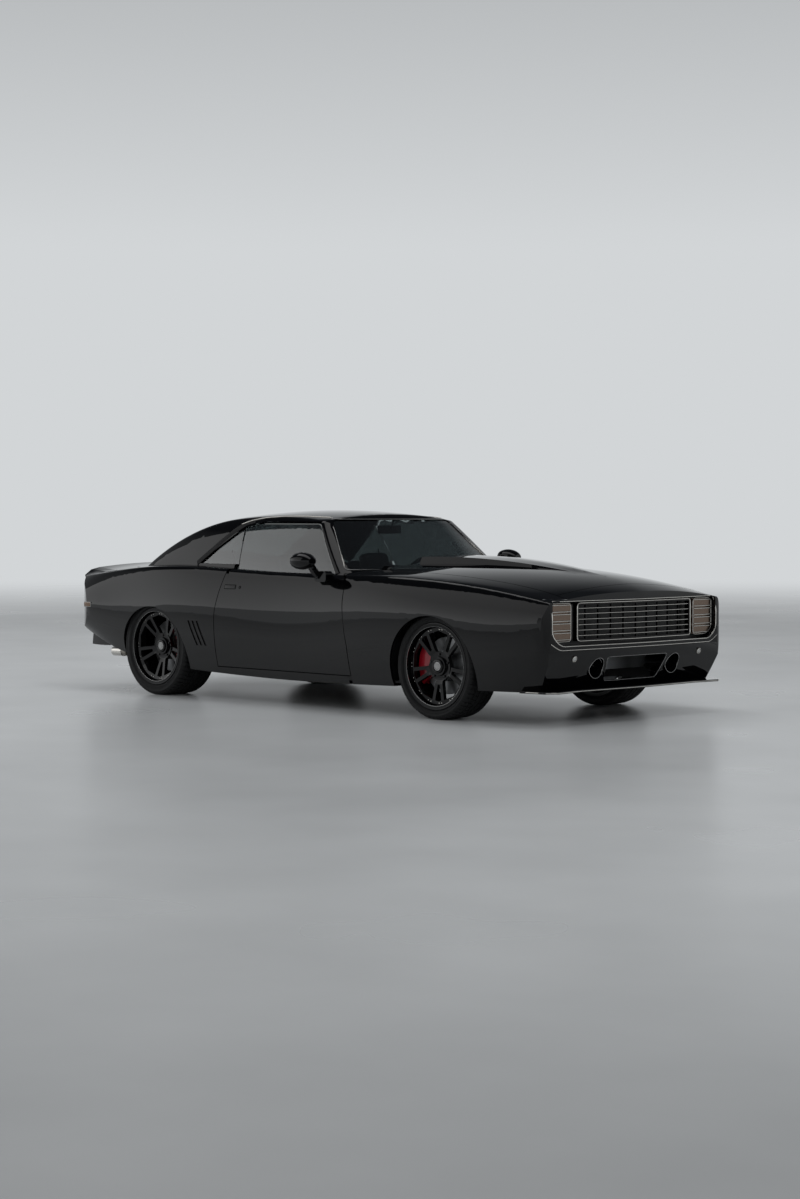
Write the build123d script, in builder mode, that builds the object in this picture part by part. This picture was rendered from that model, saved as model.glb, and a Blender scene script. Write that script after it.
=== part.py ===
from build123d import *
import os
from collections import namedtuple
from math import cos, radians, sin, sqrt

# A two-door hardtop muscle car of the late sixties, lowered on twenty-inch wheels.
# Units are millimetres. +X points forward, +Y to the car's left, +Z up.
# The origin is on the floor, under the middle of the overall length.

# Overall sizes
overall_length = 4724
wheelbase = 2743
front_overhang = 937
nose_x = overall_length / 2
tail_x = -nose_x
front_axle_x = nose_x - front_overhang
rear_axle_x = front_axle_x - wheelbase
wide = 1100  # past the sides of the car, for cuts that go right through

# Panels
skin = 14  # an outer panel with its inner frame
fit_gap = 0.3  # between pieces that seat on one another
shut_gap = 6  # around doors, hood and trunk lid
shoulder_radius = 34
belt_z = 850  # the doors' inner tops, under the side glass

# Wheels: outer radius, width and track of the tyres, rim widths, wheel arches
front_tyre_radius = 330
front_tyre_width = 255
front_track = 1520
front_rim_width = 230
rear_tyre_radius = 343
rear_tyre_width = 300
rear_track = 1500
rear_rim_width = 280
rim_lip_radius = 270
bead_radius = 254
arch_radius = 370
front_arch_top = 645
rear_arch_top = 626
front_liner_radius = 400
rear_tub_radius = 372
panel_wall = 10  # liners, tubs and inner panels
apron_y = 462  # inner wall of the front wheel houses
rear_tub_y = 573

# Steering
steer_y = 715  # upright steering axis, inside the wheel
spindle_radius = 16
ball_pin_radius = 9
lower_arm_z = 200
upper_arm_z = 470
pin_gap = 0.2

# Doors
door_hinge_x = 560
door_hinge_y = 862
door_inner_y = 745
door_bottom_z = 236
hinge_pin_radius = 8
hinge_barrel_radius = 16
hinge_heights = (340, 720)
hinge_post_x = (door_hinge_x + 8, door_hinge_x + 52)
hinge_post_y = (700, 766)  # inboard of the door's lip, also with the door open

# Hood and trunk lid
hood_front_x = nose_x - 125
hood_rear_x = 655
hood_half_width = 662
hood_hinge_x = 640
hood_hinge_z = 890
hood_arm_y = 600
hood_pin_radius = 6
cowl_drop = 28
lid_front_x = -1760
lid_half_width = 610
lid_hinge_x = -1600
lid_hinge_z = 850
lid_arm_y = 540
lid_pin_radius = 7
lid_gap = 8
tail_joint_x = tail_x + 150
tail_top_z = 770

# Cabin
firewall_x = 600
bulkhead_x = -1160
door_rear_x = -640
post_rear_x = -720
roof_wall = 30
cabin_wall = 32
glass_thickness = 6
floor_z = 205

Station = namedtuple("Station", "x crease_y crease_z shoulder_y shoulder_z top_z sill_y sill_z")
body_stations = [
    Station(nose_x + 60, 808, 592, 780, 716, 772, 690, 205),
    Station(nose_x - 212, 893, 603, 826, 774, 864, 818, 205),
    Station(front_axle_x + 375, 924, 625, 832, 822, 920, 866, 200),
    Station(front_axle_x, 937, 658, 835, 858, 945, 872, 195),
    Station(700, 924, 655, 836, 880, 953, 864, 180),
    Station(-300, 919, 615, 840, 886, 930, 862, 178),
    Station(rear_axle_x, 938, 626, 850, 906, 944, 870, 225),
    Station(rear_axle_x - 532, 922, 614, 824, 866, 914, 850, 318),
    Station(tail_x - 60, 848, 598, 738, 812, 860, 790, 500),
]


def block(x, y, z, mode=Mode.ADD):
    """A plain block from its low and high ends along each axis."""
    middle = ((x[0] + x[1]) / 2, (y[0] + y[1]) / 2, (z[0] + z[1]) / 2)
    with Locations(middle):
        Box(x[1] - x[0], y[1] - y[0], z[1] - z[0], mode=mode)


def region(solid, x, y, z):
    """What lies of a solid between the given ends along each axis."""
    with BuildPart() as piece:
        add(solid)
        block(x, y, z, Mode.INTERSECT)
    return piece.part


def across(x, z, radius, y, mode=Mode.ADD):
    """A round bar or bore along the car's width, from its low to its high y."""
    with BuildSketch(Plane.XZ.offset(-y[1])) as circle:
        with Locations((x, z)):
            Circle(radius)
    extrude(circle.sketch, amount=y[1] - y[0], mode=mode)


def upright(x, y, radius, z, mode=Mode.ADD):
    """A round bar or bore that stands upright, from its low to its high z."""
    with BuildSketch(Plane.XY.offset(z[0])) as circle:
        with Locations((x, y)):
            Circle(radius)
    extrude(circle.sketch, amount=z[1] - z[0], mode=mode)


def lengthwise(y, z, radius, x, mode=Mode.ADD):
    """A round bar or bore along the car's length, from its low to its high x."""
    with BuildSketch(Plane.YZ.offset(x[0])) as circle:
        with Locations((y, z)):
            Circle(radius)
    extrude(circle.sketch, amount=x[1] - x[0], mode=mode)


def side_plate(points, y, mode=Mode.ADD, radius=0.0):
    """A plate seen from the side, from (x, z) corners, between its low and high y."""
    with BuildSketch(Plane.XZ.offset(-y[1])) as plate:
        with BuildLine():
            if radius:
                FilletPolyline(*points, radius=radius, close=True)
            else:
                Polyline(*points, close=True)
        make_face()
    extrude(plate.sketch, amount=y[1] - y[0], mode=mode)


def plan_plate(points, z, mode=Mode.ADD, radius=0.0):
    """A plate seen from above, from (x, y) corners, between its low and high z."""
    with BuildSketch(Plane.XY.offset(z[0])) as plate:
        with BuildLine():
            if radius:
                FilletPolyline(*points, radius=radius, close=True)
            else:
                Polyline(*points, close=True)
        make_face()
    extrude(plate.sketch, amount=z[1] - z[0], mode=mode)


def front_plate(points, x, mode=Mode.ADD, radius=0.0):
    """A plate seen from the front, from (y, z) corners, between its low and high x."""
    with BuildSketch(Plane.YZ.offset(x[0])) as plate:
        with BuildLine():
            if radius:
                FilletPolyline(*points, radius=radius, close=True)
            else:
                Polyline(*points, close=True)
        make_face()
    extrude(plate.sketch, amount=x[1] - x[0], mode=mode)


def sheet(points, thickness):
    """The corners of a bent sheet of the given upright thickness, from its lower line."""
    return list(points) + [(x, z + thickness) for x, z in reversed(points)]


def finish(part, name):
    """Names a finished piece and writes it out."""
    part.label = name
    export_step(part, f"parts/{name}.step")


def on_right(part):
    """The same piece on the car's right side."""
    return mirror(part, about=Plane.XZ, mode=Mode.PRIVATE)


# The lower body: one lofted surface from nose to tail, so its highlights run on through panels


def bulged(start, end, bulge):
    """Middle point of an arc that swells to the right of the line from start to end."""
    first = Vector(*start)
    last = Vector(*end)
    along = (last - first).normalized()
    middle = (first + last) / 2 + Vector(along.Y, -along.X) * bulge
    return (middle.X, middle.Y)


def body_section(station, inset):
    """One closed cross-section of the lower body, inset by a panel's thickness."""
    sill = (station.sill_y - inset, station.sill_z + inset)
    crease = (station.crease_y - inset, station.crease_z)
    shoulder = (station.shoulder_y - inset, station.shoulder_z - inset)
    top = (0, station.top_z - inset)
    with BuildSketch(Plane.YZ.offset(station.x)) as section:
        with BuildLine():
            Line((0, sill[1]), sill)
            ThreePointArc(sill, bulged(sill, crease, 20), crease)
            ThreePointArc(crease, bulged(crease, shoulder, 13), shoulder)
            ThreePointArc(shoulder, bulged(shoulder, top, 0.22 * (top[1] - shoulder[1])), top)
            mirror(about=Plane.YZ)
        make_face()
        corners = [
            v
            for v in section.vertices()
            if abs(abs(v.X) - shoulder[0]) < 0.01 and abs(v.Y - shoulder[1]) < 0.01
        ]
        fillet(corners, shoulder_radius)
    return section.sketch


def plan_outline(inset):
    """The body seen from above: a shallow V nose, a round tail, the sides left free."""
    front = nose_x - inset
    rear = tail_x + inset
    with BuildSketch() as outline:
        with BuildLine():
            Line((front, 0), (front - 46, 800))
            ThreePointArc((front - 46, 800), (front - 62, 846 - inset), (front - 104, 874 - inset))
            Line((front - 104, 874 - inset), (front - 420, 1000))
            Line((front - 420, 1000), (rear + 420, 1000))
            Line((rear + 420, 1000), (rear + 150, 840 - inset))
            ThreePointArc((rear + 150, 840 - inset), (rear + 72, 745 - inset), (rear + 34, 610))
            Line((rear + 34, 610), (rear, 0))
            mirror(about=Plane.XZ)
        make_face()
    return outline.sketch


def side_outline(inset):
    """The body's nose and tail seen from the side; top and bottom are left free."""
    front = nose_x - inset
    rear = tail_x + inset
    with BuildSketch() as outline:
        with BuildLine():
            Polyline(
                (front - 150, 60),
                (front - 128, 215),
                (front - 44, 385),
                (front - 12, 470),
                (front, 520),
                (front, 1100),
                (rear + 92, 1100),
                (rear + 80, 830),
                (rear, 610),
            )
            ThreePointArc((rear, 610), (rear + 34, 478), (rear + 150, 385))
            Polyline((rear + 150, 385), (rear + 260, 60), (front - 150, 60))
        make_face()
    return outline.sketch


def body_solid(inset):
    """The lower body, full, at a given depth under its skin."""
    with BuildPart() as solid:
        for station in body_stations:
            add(body_section(station, inset))
        loft()
        with BuildSketch():
            add(plan_outline(inset))
        extrude(amount=1200, mode=Mode.INTERSECT)
        with BuildSketch(Plane.XZ.offset(-wide)):
            add(side_outline(inset))
        extrude(amount=2 * wide, mode=Mode.INTERSECT)
    return solid.part


# The cabin top: side walls that lean in, a crowned roof that runs on into the rear window

Level = namedtuple("Level", "z front_y middle_y rear_y")
cabin_levels = [
    Level(800, 785, 806, 700),
    Level(1060, 668, 708, 590),
    Level(1330, 505, 545, 430),
]
cabin_front_x = 900
cabin_middle_x = -250
cabin_back_x = -1850
roof_axis_z = -2500
roof_middle_z = 1294
roof_rear_x = -800
roof_rear_z = 1281
deck_x = -1800
deck_z = 878
screen_base_x = 605  # the windscreen on the centreline, at screen_base_z
screen_base_z = 900
screen_lean = Vector(-400, 0, 355)
screen_sag = 290  # how far the windscreen curves back, a metre out from the middle
screen_foot_z = 780
screen_foot_rear_x = -1590
roof_rail_radius = 45
screen_edge_radius = 30


def is_roof_rail(edge):
    """The long edges between the roof and the sides, down to the deck."""
    ends = edge.bounding_box()
    one_side = ends.min.Y * ends.max.Y > 0
    return one_side and edge.length > 800 and ends.max.Z > 1180


def is_screen_edge(edge):
    """The windscreen pillars' front edges."""
    ends = edge.bounding_box()
    one_side = ends.min.Y * ends.max.Y > 0
    return one_side and ends.max.X > 400 and ends.min.Z < 820 and ends.max.Z > 1150


def cabin_solid(side_inset, top_inset, screen_inset):
    """The cabin above the belt, full, inset from its sides, roof and windscreen."""
    with BuildPart() as solid:
        for level in cabin_levels:
            with BuildSketch(Plane.XY.offset(level.z)):
                with BuildLine():
                    Line((cabin_back_x, 0), (cabin_back_x, level.rear_y - side_inset))
                    ThreePointArc(
                        (cabin_back_x, level.rear_y - side_inset),
                        (cabin_middle_x, level.middle_y - side_inset),
                        (cabin_front_x, level.front_y - side_inset),
                    )
                    Line((cabin_front_x, level.front_y - side_inset), (cabin_front_x, 0))
                    mirror(about=Plane.XZ)
                make_face()
        loft()
        with BuildSketch(Plane.XZ):
            with BuildLine():
                roof = ThreePointArc(
                    (cabin_front_x, 1135 - top_inset),
                    (-100, roof_middle_z - top_inset),
                    (roof_rear_x, roof_rear_z - top_inset),
                )
                rear = TangentArc(
                    (roof_rear_x, roof_rear_z - top_inset),
                    (deck_x, deck_z - top_inset),
                    tangent=roof % 1,
                )
                Polyline(
                    rear @ 1,
                    (deck_x - 150, deck_z - 180),
                    (deck_x - 150, roof_axis_z),
                    (cabin_front_x, roof_axis_z),
                    roof @ 0,
                )
            make_face()
        revolve(axis=Axis((0, 0, roof_axis_z), (1, 0, 0)), revolution_arc=360, mode=Mode.INTERSECT)
        lean = screen_lean.normalized()
        run_out = (screen_base_z - screen_foot_z) * -lean.X / lean.Z
        base_x = screen_base_x + run_out - screen_inset / lean.Z
        with BuildSketch(Plane.XY.offset(screen_foot_z)):
            with BuildLine():
                ThreePointArc((base_x - screen_sag, -1000), (base_x, 0), (base_x - screen_sag, 1000))
                Polyline(
                    (base_x - screen_sag, 1000),
                    (screen_foot_rear_x, 1000),
                    (screen_foot_rear_x, -1000),
                    (base_x - screen_sag, -1000),
                )
            make_face()
        extrude(amount=900, dir=lean, mode=Mode.INTERSECT)
    return solid.part


outer = body_solid(0)
inner = body_solid(skin)
inside = body_solid(skin + fit_gap)  # what stands against the skin ends here
cabin_inner = cabin_solid(cabin_wall, roof_wall, cabin_wall)

os.makedirs("parts", exist_ok=True)

with BuildPart() as cabin_top:
    add(cabin_solid(0, 0, 0))
    fillet(cabin_top.edges().filter_by(is_roof_rail), roof_rail_radius)
    fillet(cabin_top.edges().filter_by(is_screen_edge), screen_edge_radius)
cabin_outer = cabin_top.part

with BuildPart() as body_skin:
    add(outer)
    add(inner, mode=Mode.SUBTRACT)

# Openings for the glass, as seen from the side, the front and above
quarter_sill_z = 930
window_top_z = 1222
window_top_x = 112
window_foot_x = 492
side_window = [
    (window_top_x, window_top_z), (window_foot_x, belt_z - 40), (-612, belt_z - 40),
    (-612, quarter_sill_z), (-1030, quarter_sill_z), (-650, 1182), (-460, window_top_z),
]
screen_foot_y = 716
screen_top_y = 546
screen_window = [
    (screen_foot_y, 912), (screen_top_y, 1232), (-screen_top_y, 1232), (-screen_foot_y, 912),
]
rear_window_plan = [(-1080, 470), (-1625, 575), (-1625, -575), (-1080, -470)]
division_foot_x = -575  # between door glass and quarter glass
division_top_x = -650
glass_seal = 12  # between a side glass and the pillar ahead of it
glass_run = 8  # between a side glass and the roof rail

# The left door's edges, seen from the side; its front edge ahead of the hinge is turned
door_side = [
    (563, 1000), (563, 870), (740, 640), (740, door_bottom_z), (door_rear_x, door_bottom_z),
    (-622, 590), (-577, 870), (-577, 1000),
]
door_step = 24  # the door's inner part is shorter, so its corner swings past the post
door_inner_front_x = door_hinge_x - 30


def door_lead(gap):
    """The turned space about the left hinge that the door's leading edge needs."""
    hinge_plane = Plane(origin=(door_hinge_x, door_hinge_y, 0), x_dir=(1, 0, 0), z_dir=(0, -1, 0))
    with BuildPart() as turned:
        with BuildSketch(hinge_plane):
            with BuildLine():
                Polyline(
                    (0, 100),
                    (112 + gap, 100),
                    (119 + gap, 423),
                    (94 + gap, 654),
                    (26 + gap, 884),
                    (26 + gap, 1000),
                    (0, 1000),
                    close=True,
                )
            make_face()
        revolve(axis=Axis((door_hinge_x, door_hinge_y, 0), (0, 0, 1)), revolution_arc=360)
    return turned.part


def door_place(gap):
    """The left door's place in the body's side, behind its hinge line, grown by a gap."""
    with BuildPart() as place:
        with BuildSketch(Plane.XZ.offset(-wide)):
            with BuildLine():
                Polyline(*door_side, close=True)
            make_face()
            if gap:
                offset(amount=gap, kind=Kind.INTERSECTION)
        extrude(amount=wide - 400)
    return place.part



# Doors: the whole thickness of the side, with a thin lip ahead of the hinge
with BuildPart() as lip_zone:
    add(door_lead(0))
    block((door_inner_front_x - 1, door_hinge_x), (door_inner_y, wide), (0, 1100))

with BuildPart() as door_lip:
    add(body_skin.part)
    add(door_place(0), mode=Mode.INTERSECT)
    block((door_inner_front_x - 1, 800), (door_inner_y, wide), (0, 1100), Mode.INTERSECT)
    add(lip_zone.part, mode=Mode.INTERSECT)

with BuildPart() as door_left:
    add(outer)
    add(door_place(0), mode=Mode.INTERSECT)
    block((-900, door_inner_front_x), (door_inner_y, wide), (0, 1100), Mode.INTERSECT)
    step = [
        (-800, 1000), (-577 + door_step, 1000), (-577 + door_step, 870), (-622 + door_step, 590),
        (door_rear_x + door_step, 200), (-800, 200),
    ]
    side_plate(step, (door_inner_y - 1, door_hinge_y), Mode.SUBTRACT)
    add(door_lip.part)
    add(region(cabin_solid(-8, 0, -60), (-900, 800), (0, wide), (belt_z, 1100)), mode=Mode.SUBTRACT)
    # Two lugs and a pin for each hinge
    for height in hinge_heights:
        lug = ((height - 28, height - 20.3), (height + 20.3, height + 28))
        for ends in lug:
            block((door_inner_front_x - 20, door_hinge_x), (door_hinge_y - 13, door_hinge_y + 13), ends)
            upright(door_hinge_x, door_hinge_y, 13, ends)
        upright(door_hinge_x, door_hinge_y, hinge_pin_radius, (height - 28, height + 28))
finish(door_left.part, "door_left")
finish(on_right(door_left.part), "door_right")

# Glass, all of it cut from two shells under the cabin's surface
with BuildPart() as side_glass:
    add(cabin_solid(12, 12, 12))
    add(cabin_solid(12 + glass_thickness, 12 + glass_thickness, 12 + glass_thickness), mode=Mode.SUBTRACT)

with BuildPart() as screen_glass:
    add(cabin_solid(4, 4, 4))
    add(cabin_solid(4 + glass_thickness, 4 + glass_thickness, 4 + glass_thickness), mode=Mode.SUBTRACT)

with BuildPart() as door_glass_left:
    add(side_glass.part)
    # Its front edge runs beside the pillar's, a seal's width behind it
    rake = (window_foot_x - window_top_x) / (window_top_z - belt_z + 40)
    pane_top_z = window_top_z - glass_run
    pane_top_x = window_top_x + rake * glass_run - glass_seal
    pane_foot_x = pane_top_x + rake * (pane_top_z - belt_z - fit_gap)
    pane = [
        (pane_top_x, pane_top_z), (pane_foot_x, belt_z + fit_gap), (-570, belt_z + fit_gap),
        (division_foot_x + 3, 905), (division_top_x + 16, 1178), (-460, pane_top_z),
    ]
    side_plate(pane, (500, wide), Mode.INTERSECT)
finish(door_glass_left.part, "door_glass_left")
finish(on_right(door_glass_left.part), "door_glass_right")

with BuildPart() as quarter_windows:
    add(side_glass.part)
    pane = [
        (division_foot_x - 8, quarter_sill_z + fit_gap), (-1029, quarter_sill_z + fit_gap),
        (division_top_x + 4, 1181),
    ]
    side_plate(pane, (500, wide), Mode.INTERSECT)
    mirror(about=Plane.XZ)
finish(quarter_windows.part, "quarter_windows")

with BuildPart() as windscreen:
    add(screen_glass.part)
    front_plate(screen_window, (60, 900), Mode.INTERSECT, radius=40)
finish(windscreen.part, "windscreen")

with BuildPart() as rear_window:
    add(screen_glass.part)
    plan_plate(rear_window_plan, (900, 1350), Mode.INTERSECT, radius=40)
finish(rear_window.part, "rear_window")

# Wheel tubs at the rear: a turned arch with an inner wall, and the panel above it
with BuildPart() as rear_tub:
    across(rear_axle_x, rear_tyre_radius, rear_tub_radius + panel_wall, (rear_tub_y, 900))
    across(rear_axle_x, rear_tyre_radius, rear_tub_radius, (rear_tub_y + panel_wall, 900), Mode.SUBTRACT)
    block((-3000, 0), (0, wide), (0, rear_tyre_radius - 110), Mode.SUBTRACT)
    # Clear of the axle and of its travel
    block((rear_axle_x - 90, rear_axle_x + 90), (0, 640), (0, rear_tyre_radius + 90), Mode.SUBTRACT)
    add(inside, mode=Mode.INTERSECT)

inner_quarter_rear_x = lid_front_x - 380
trunk_wall_z = 376  # lower edge of the inner quarter beside the trunk floor
with BuildPart() as inner_quarter:
    block(
        (inner_quarter_rear_x, post_rear_x + 1),
        (door_inner_y - panel_wall, door_inner_y),
        (floor_z + panel_wall, 1000),
    )
    across(rear_axle_x, rear_tyre_radius, rear_tub_radius + panel_wall + fit_gap, (600, 900), Mode.SUBTRACT)
    block((-3000, rear_axle_x), (0, wide), (0, trunk_wall_z), Mode.SUBTRACT)
    add(inner, mode=Mode.INTERSECT)

gill_count = 3
gill_rear_x = -902
gill_pitch = 44
gill_lean = 72
gill_width = 13
gill_top_z = 540
gill_bottom_z = 372

# Ends of the ducktail, on the quarters beside the trunk lid
tip_inner_y = lid_half_width + shut_gap
with BuildPart() as spoiler_tip:
    with BuildSketch(Plane.YZ.offset(tail_x + 252)):
        with BuildLine():
            Polyline((tip_inner_y, 830), (tip_inner_y, 861), (700, 853), (772, 834), (760, 815), close=True)
        make_face()
    with BuildSketch(Plane.YZ.offset(tail_x + 34)):
        with BuildLine():
            Polyline((tip_inner_y, 790), (tip_inner_y, 880), (690, 864), (748, 824), (736, 790), close=True)
        make_face()
    loft()
    add(inner, mode=Mode.SUBTRACT)

# The body shell: quarters, deck, rockers, posts, cowl and roof in one
with BuildPart() as cabin_shell:
    add(cabin_outer)
    add(cabin_inner, mode=Mode.SUBTRACT)
    add(region(inner, (-3000, 0), (-wide, wide), (0, 1100)), mode=Mode.SUBTRACT)
    add(region(body_solid(cowl_drop + 2), (0, 1500), (-wide, wide), (0, 1100)), mode=Mode.SUBTRACT)
    block((-2000, 1000), (0, wide), (0, 1400), Mode.INTERSECT)
    side_plate(side_window, (450, wide), Mode.SUBTRACT)
    front_plate(screen_window, (60, 1000), Mode.SUBTRACT, radius=40)
    plan_plate(rear_window_plan, (900, 1350), Mode.SUBTRACT, radius=40)

with BuildPart() as cowl:
    add(body_solid(cowl_drop))
    add(body_solid(cowl_drop + skin), mode=Mode.SUBTRACT)
    block((380, hood_rear_x - shut_gap), (0, 798), (700, 1100), Mode.INTERSECT)
    block((380, door_hinge_x + 6), (738, wide), (700, 1100), Mode.SUBTRACT)

# It is made on the left and mirrored
with BuildPart() as body_shell:
    add(body_skin.part)
    block((tail_x - 1, -560), (0, wide), (0, 1100), Mode.INTERSECT)
    # No floor here: the skin ends in a narrow return along its lower edge
    block((tail_x - 1, -500), (-1, 790), (0, 780), Mode.SUBTRACT)
    # Wheel arch, trunk opening, and the tail's own panels
    across(rear_axle_x, rear_arch_top - arch_radius, arch_radius, (400, wide), Mode.SUBTRACT)
    block(
        (tail_x - 1, lid_front_x + lid_gap),
        (-1, lid_half_width + shut_gap),
        (tail_top_z - 1, 1000),
        Mode.SUBTRACT,
    )
    block((tail_x - 1, tail_joint_x), (-1, wide), (0, tail_top_z), Mode.SUBTRACT)
    add(spoiler_tip.part)
    # Slanted gills ahead of the wheel
    for number in range(gill_count):
        top_x = gill_rear_x + number * gill_pitch
        side_plate([
            (top_x, gill_top_z), (top_x + gill_width, gill_top_z),
            (top_x + gill_lean + gill_width, gill_bottom_z), (top_x + gill_lean, gill_bottom_z),
        ], (door_inner_y, wide), Mode.SUBTRACT)
    # The rocker, the post behind the door and the hinge post
    add(region(outer, (post_rear_x, 650), (door_inner_y, wide), (0, door_bottom_z - shut_gap)))
    add(region(outer, (post_rear_x, -570), (door_inner_y, wide), (100, 1100)))
    add(
        region(
            body_solid(cowl_drop),
            hinge_post_x,
            hinge_post_y,
            (door_bottom_z - 46, 1100),
        )
    )
    # The inner wall above the wheel tub, from the post to the trunk
    add(inner_quarter.part)
    add(cowl.part)
    # Slot and bracket of the hood hinge, with its pin
    block(
        (hood_hinge_x - 24, hood_rear_x),
        (hood_arm_y - 12, hood_arm_y + 9),
        (860, 1000),
        Mode.SUBTRACT,
    )
    block(
        (firewall_x, hood_hinge_x + 12),
        (hood_arm_y + 9, hood_arm_y + 16),
        (hood_hinge_z - 20, hood_hinge_z + 5),
    )
    across(hood_hinge_x, hood_hinge_z, hood_pin_radius, (hood_arm_y - 8, hood_arm_y + 12))
    # Bracket of the trunk hinge under the deck, with its pin
    block(
        (lid_hinge_x - 16, lid_hinge_x + 16),
        (lid_arm_y + 10, lid_arm_y + 17),
        (lid_hinge_z - 16, lid_hinge_z + 60),
    )
    across(lid_hinge_x, lid_hinge_z, lid_pin_radius, (lid_arm_y - 6, lid_arm_y + 12))
    # The doorway, and barrels for the door's hinge pins on the hinge post
    add(
        region(door_place(shut_gap), (-900, door_hinge_x - 1), (0, wide), (door_bottom_z - shut_gap, 1100)),
        mode=Mode.SUBTRACT,
    )
    for height in hinge_heights:
        block(
            (door_hinge_x - 10, door_hinge_x + 20),
            (hinge_post_y[1] - 2, door_hinge_y),
            (height - 20, height + 20),
        )
        upright(door_hinge_x, door_hinge_y, hinge_barrel_radius, (height - 20, height + 20))
        upright(
            door_hinge_x, door_hinge_y, hinge_pin_radius + pin_gap, (height - 30, height + 30), Mode.SUBTRACT
        )
    add(region(cabin_outer, (0, 1000), (0, wide), (700, 1400)), mode=Mode.SUBTRACT)
    add(cabin_shell.part)
    add(region(cabin_inner, (bulkhead_x, 1000), (-1, wide), (700, 1400)), mode=Mode.SUBTRACT)
    mirror(about=Plane.XZ)
finish(body_shell.part, "body_shell")

with BuildPart() as rear_tubs:
    add(rear_tub.part)
    mirror(about=Plane.XZ)
finish(rear_tubs.part, "rear_wheel_tubs")

# Front fenders, cut round the doors' leading edges, the arches and the nose
surround_half_width = 812
surround_depth = 120
surround_top_z = 764
surround_bottom_z = 452
valance_rear_x = nose_x - 258

with BuildPart() as front_fenders:
    add(body_skin.part)
    block((door_hinge_x, nose_x), (hood_half_width + shut_gap, wide), (0, 1100), Mode.INTERSECT)
    block((0, nose_x), (0, 790), (0, 700), Mode.SUBTRACT)
    add(door_lead(shut_gap), mode=Mode.SUBTRACT)
    block((door_hinge_x - 1, door_hinge_x + 3 + shut_gap), (0, wide), (0, 1100), Mode.SUBTRACT)
    across(front_axle_x, front_arch_top - arch_radius, arch_radius, (400, wide), Mode.SUBTRACT)
    block(
        (nose_x - surround_depth - fit_gap, nose_x + 1),
        (0, surround_half_width + fit_gap),
        (surround_bottom_z - fit_gap, surround_top_z + fit_gap),
        Mode.SUBTRACT,
    )
    block((valance_rear_x - fit_gap, nose_x + 1), (0, wide), (0, surround_bottom_z), Mode.SUBTRACT)
    mirror(about=Plane.XZ)
finish(front_fenders.part, "front_fenders")

# Wheel houses under the fenders: an arch over the tyre and a flat apron beside the engine
with BuildPart() as inner_fenders:
    across(front_axle_x, front_tyre_radius, front_liner_radius + panel_wall, (apron_y, wide))
    across(front_axle_x, front_tyre_radius, front_liner_radius, (apron_y, wide), Mode.SUBTRACT)
    block((0, 3000), (0, wide), (0, front_tyre_radius - 110), Mode.SUBTRACT)
    block((firewall_x + 60, nose_x - 210), (apron_y - panel_wall, apron_y), (450, 800))
    block((firewall_x + 60, nose_x - 210), (apron_y - panel_wall, hood_half_width + 30), (800, 806))
    # Room for the upper arm in the apron
    block(
        (front_axle_x - 125, front_axle_x + 125),
        (apron_y - panel_wall - 1, apron_y + 1),
        (440, upper_arm_z + 24),
        Mode.SUBTRACT,
    )
    add(inside, mode=Mode.INTERSECT)
    mirror(about=Plane.XZ)
finish(inner_fenders.part, "inner_fenders")

# Hood, with a raised scoop whose mouth faces the windscreen
ScoopStation = namedtuple("ScoopStation", "x half_width rise")
scoop_stations = [
    ScoopStation(hood_rear_x + 14, 250, 48),
    ScoopStation(1250, 205, 44),
    ScoopStation(2060, 90, 6),
]


def hood_line_z(x):
    """Height of the hood's skin on the centreline, from the body's sections."""
    ahead = [s for s in body_stations if s.x >= x][-1]
    behind = [s for s in body_stations if s.x <= x][0]
    if ahead.x == behind.x:
        return ahead.top_z
    share = (x - behind.x) / (ahead.x - behind.x)
    return behind.top_z + share * (ahead.top_z - behind.top_z)


with BuildPart() as scoop:
    for station in scoop_stations:
        line_z = hood_line_z(station.x)
        with BuildSketch(Plane.YZ.offset(station.x)):
            with BuildLine():
                Polyline(
                    (-station.half_width, line_z - 16),
                    (station.half_width, line_z - 16),
                    (station.half_width - 26, line_z + station.rise - 10),
                    (0, line_z + station.rise),
                    (-station.half_width + 26, line_z + station.rise - 10),
                    close=True,
                )
            make_face()
    loft()

with BuildPart() as hood:
    add(body_skin.part)
    block((hood_rear_x, hood_front_x), (-hood_half_width, hood_half_width), (700, 1100), Mode.INTERSECT)
    add(scoop.part)
    add(region(inner, (0, 3000), (-wide, wide), (0, 1100)), mode=Mode.SUBTRACT)
    # The scoop's mouth
    block((hood_rear_x - 10, hood_rear_x + 90), (-190, 190), (958, 984), Mode.SUBTRACT)
    # Two hinge arms with their eyes
    for side in (-1, 1):
        arm = (side * hood_arm_y - 4, side * hood_arm_y + 4)
        across(hood_hinge_x, hood_hinge_z, 14, arm)
        side_plate([
            (hood_hinge_x - 6, hood_hinge_z - 12), (hood_hinge_x + 60, hood_hinge_z - 4),
            (hood_hinge_x + 140, hood_hinge_z + 44), (hood_hinge_x + 60, hood_hinge_z + 46),
        ], arm)
        across(hood_hinge_x, hood_hinge_z, hood_pin_radius + pin_gap, (arm[0] - 1, arm[1] + 1), Mode.SUBTRACT)
finish(hood.part, "hood")

# Header panel between hood and grille
with BuildPart() as header_panel:
    add(body_skin.part)
    block((hood_front_x + shut_gap, nose_x), (-hood_half_width, hood_half_width),
          (surround_top_z + fit_gap, 1100), Mode.INTERSECT)
finish(header_panel.part, "header_panel")

# Grille surround: a deep body-colour frame right across the nose
opening_half_width = 786
opening_top_z = 748
opening_bottom_z = 486


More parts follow.
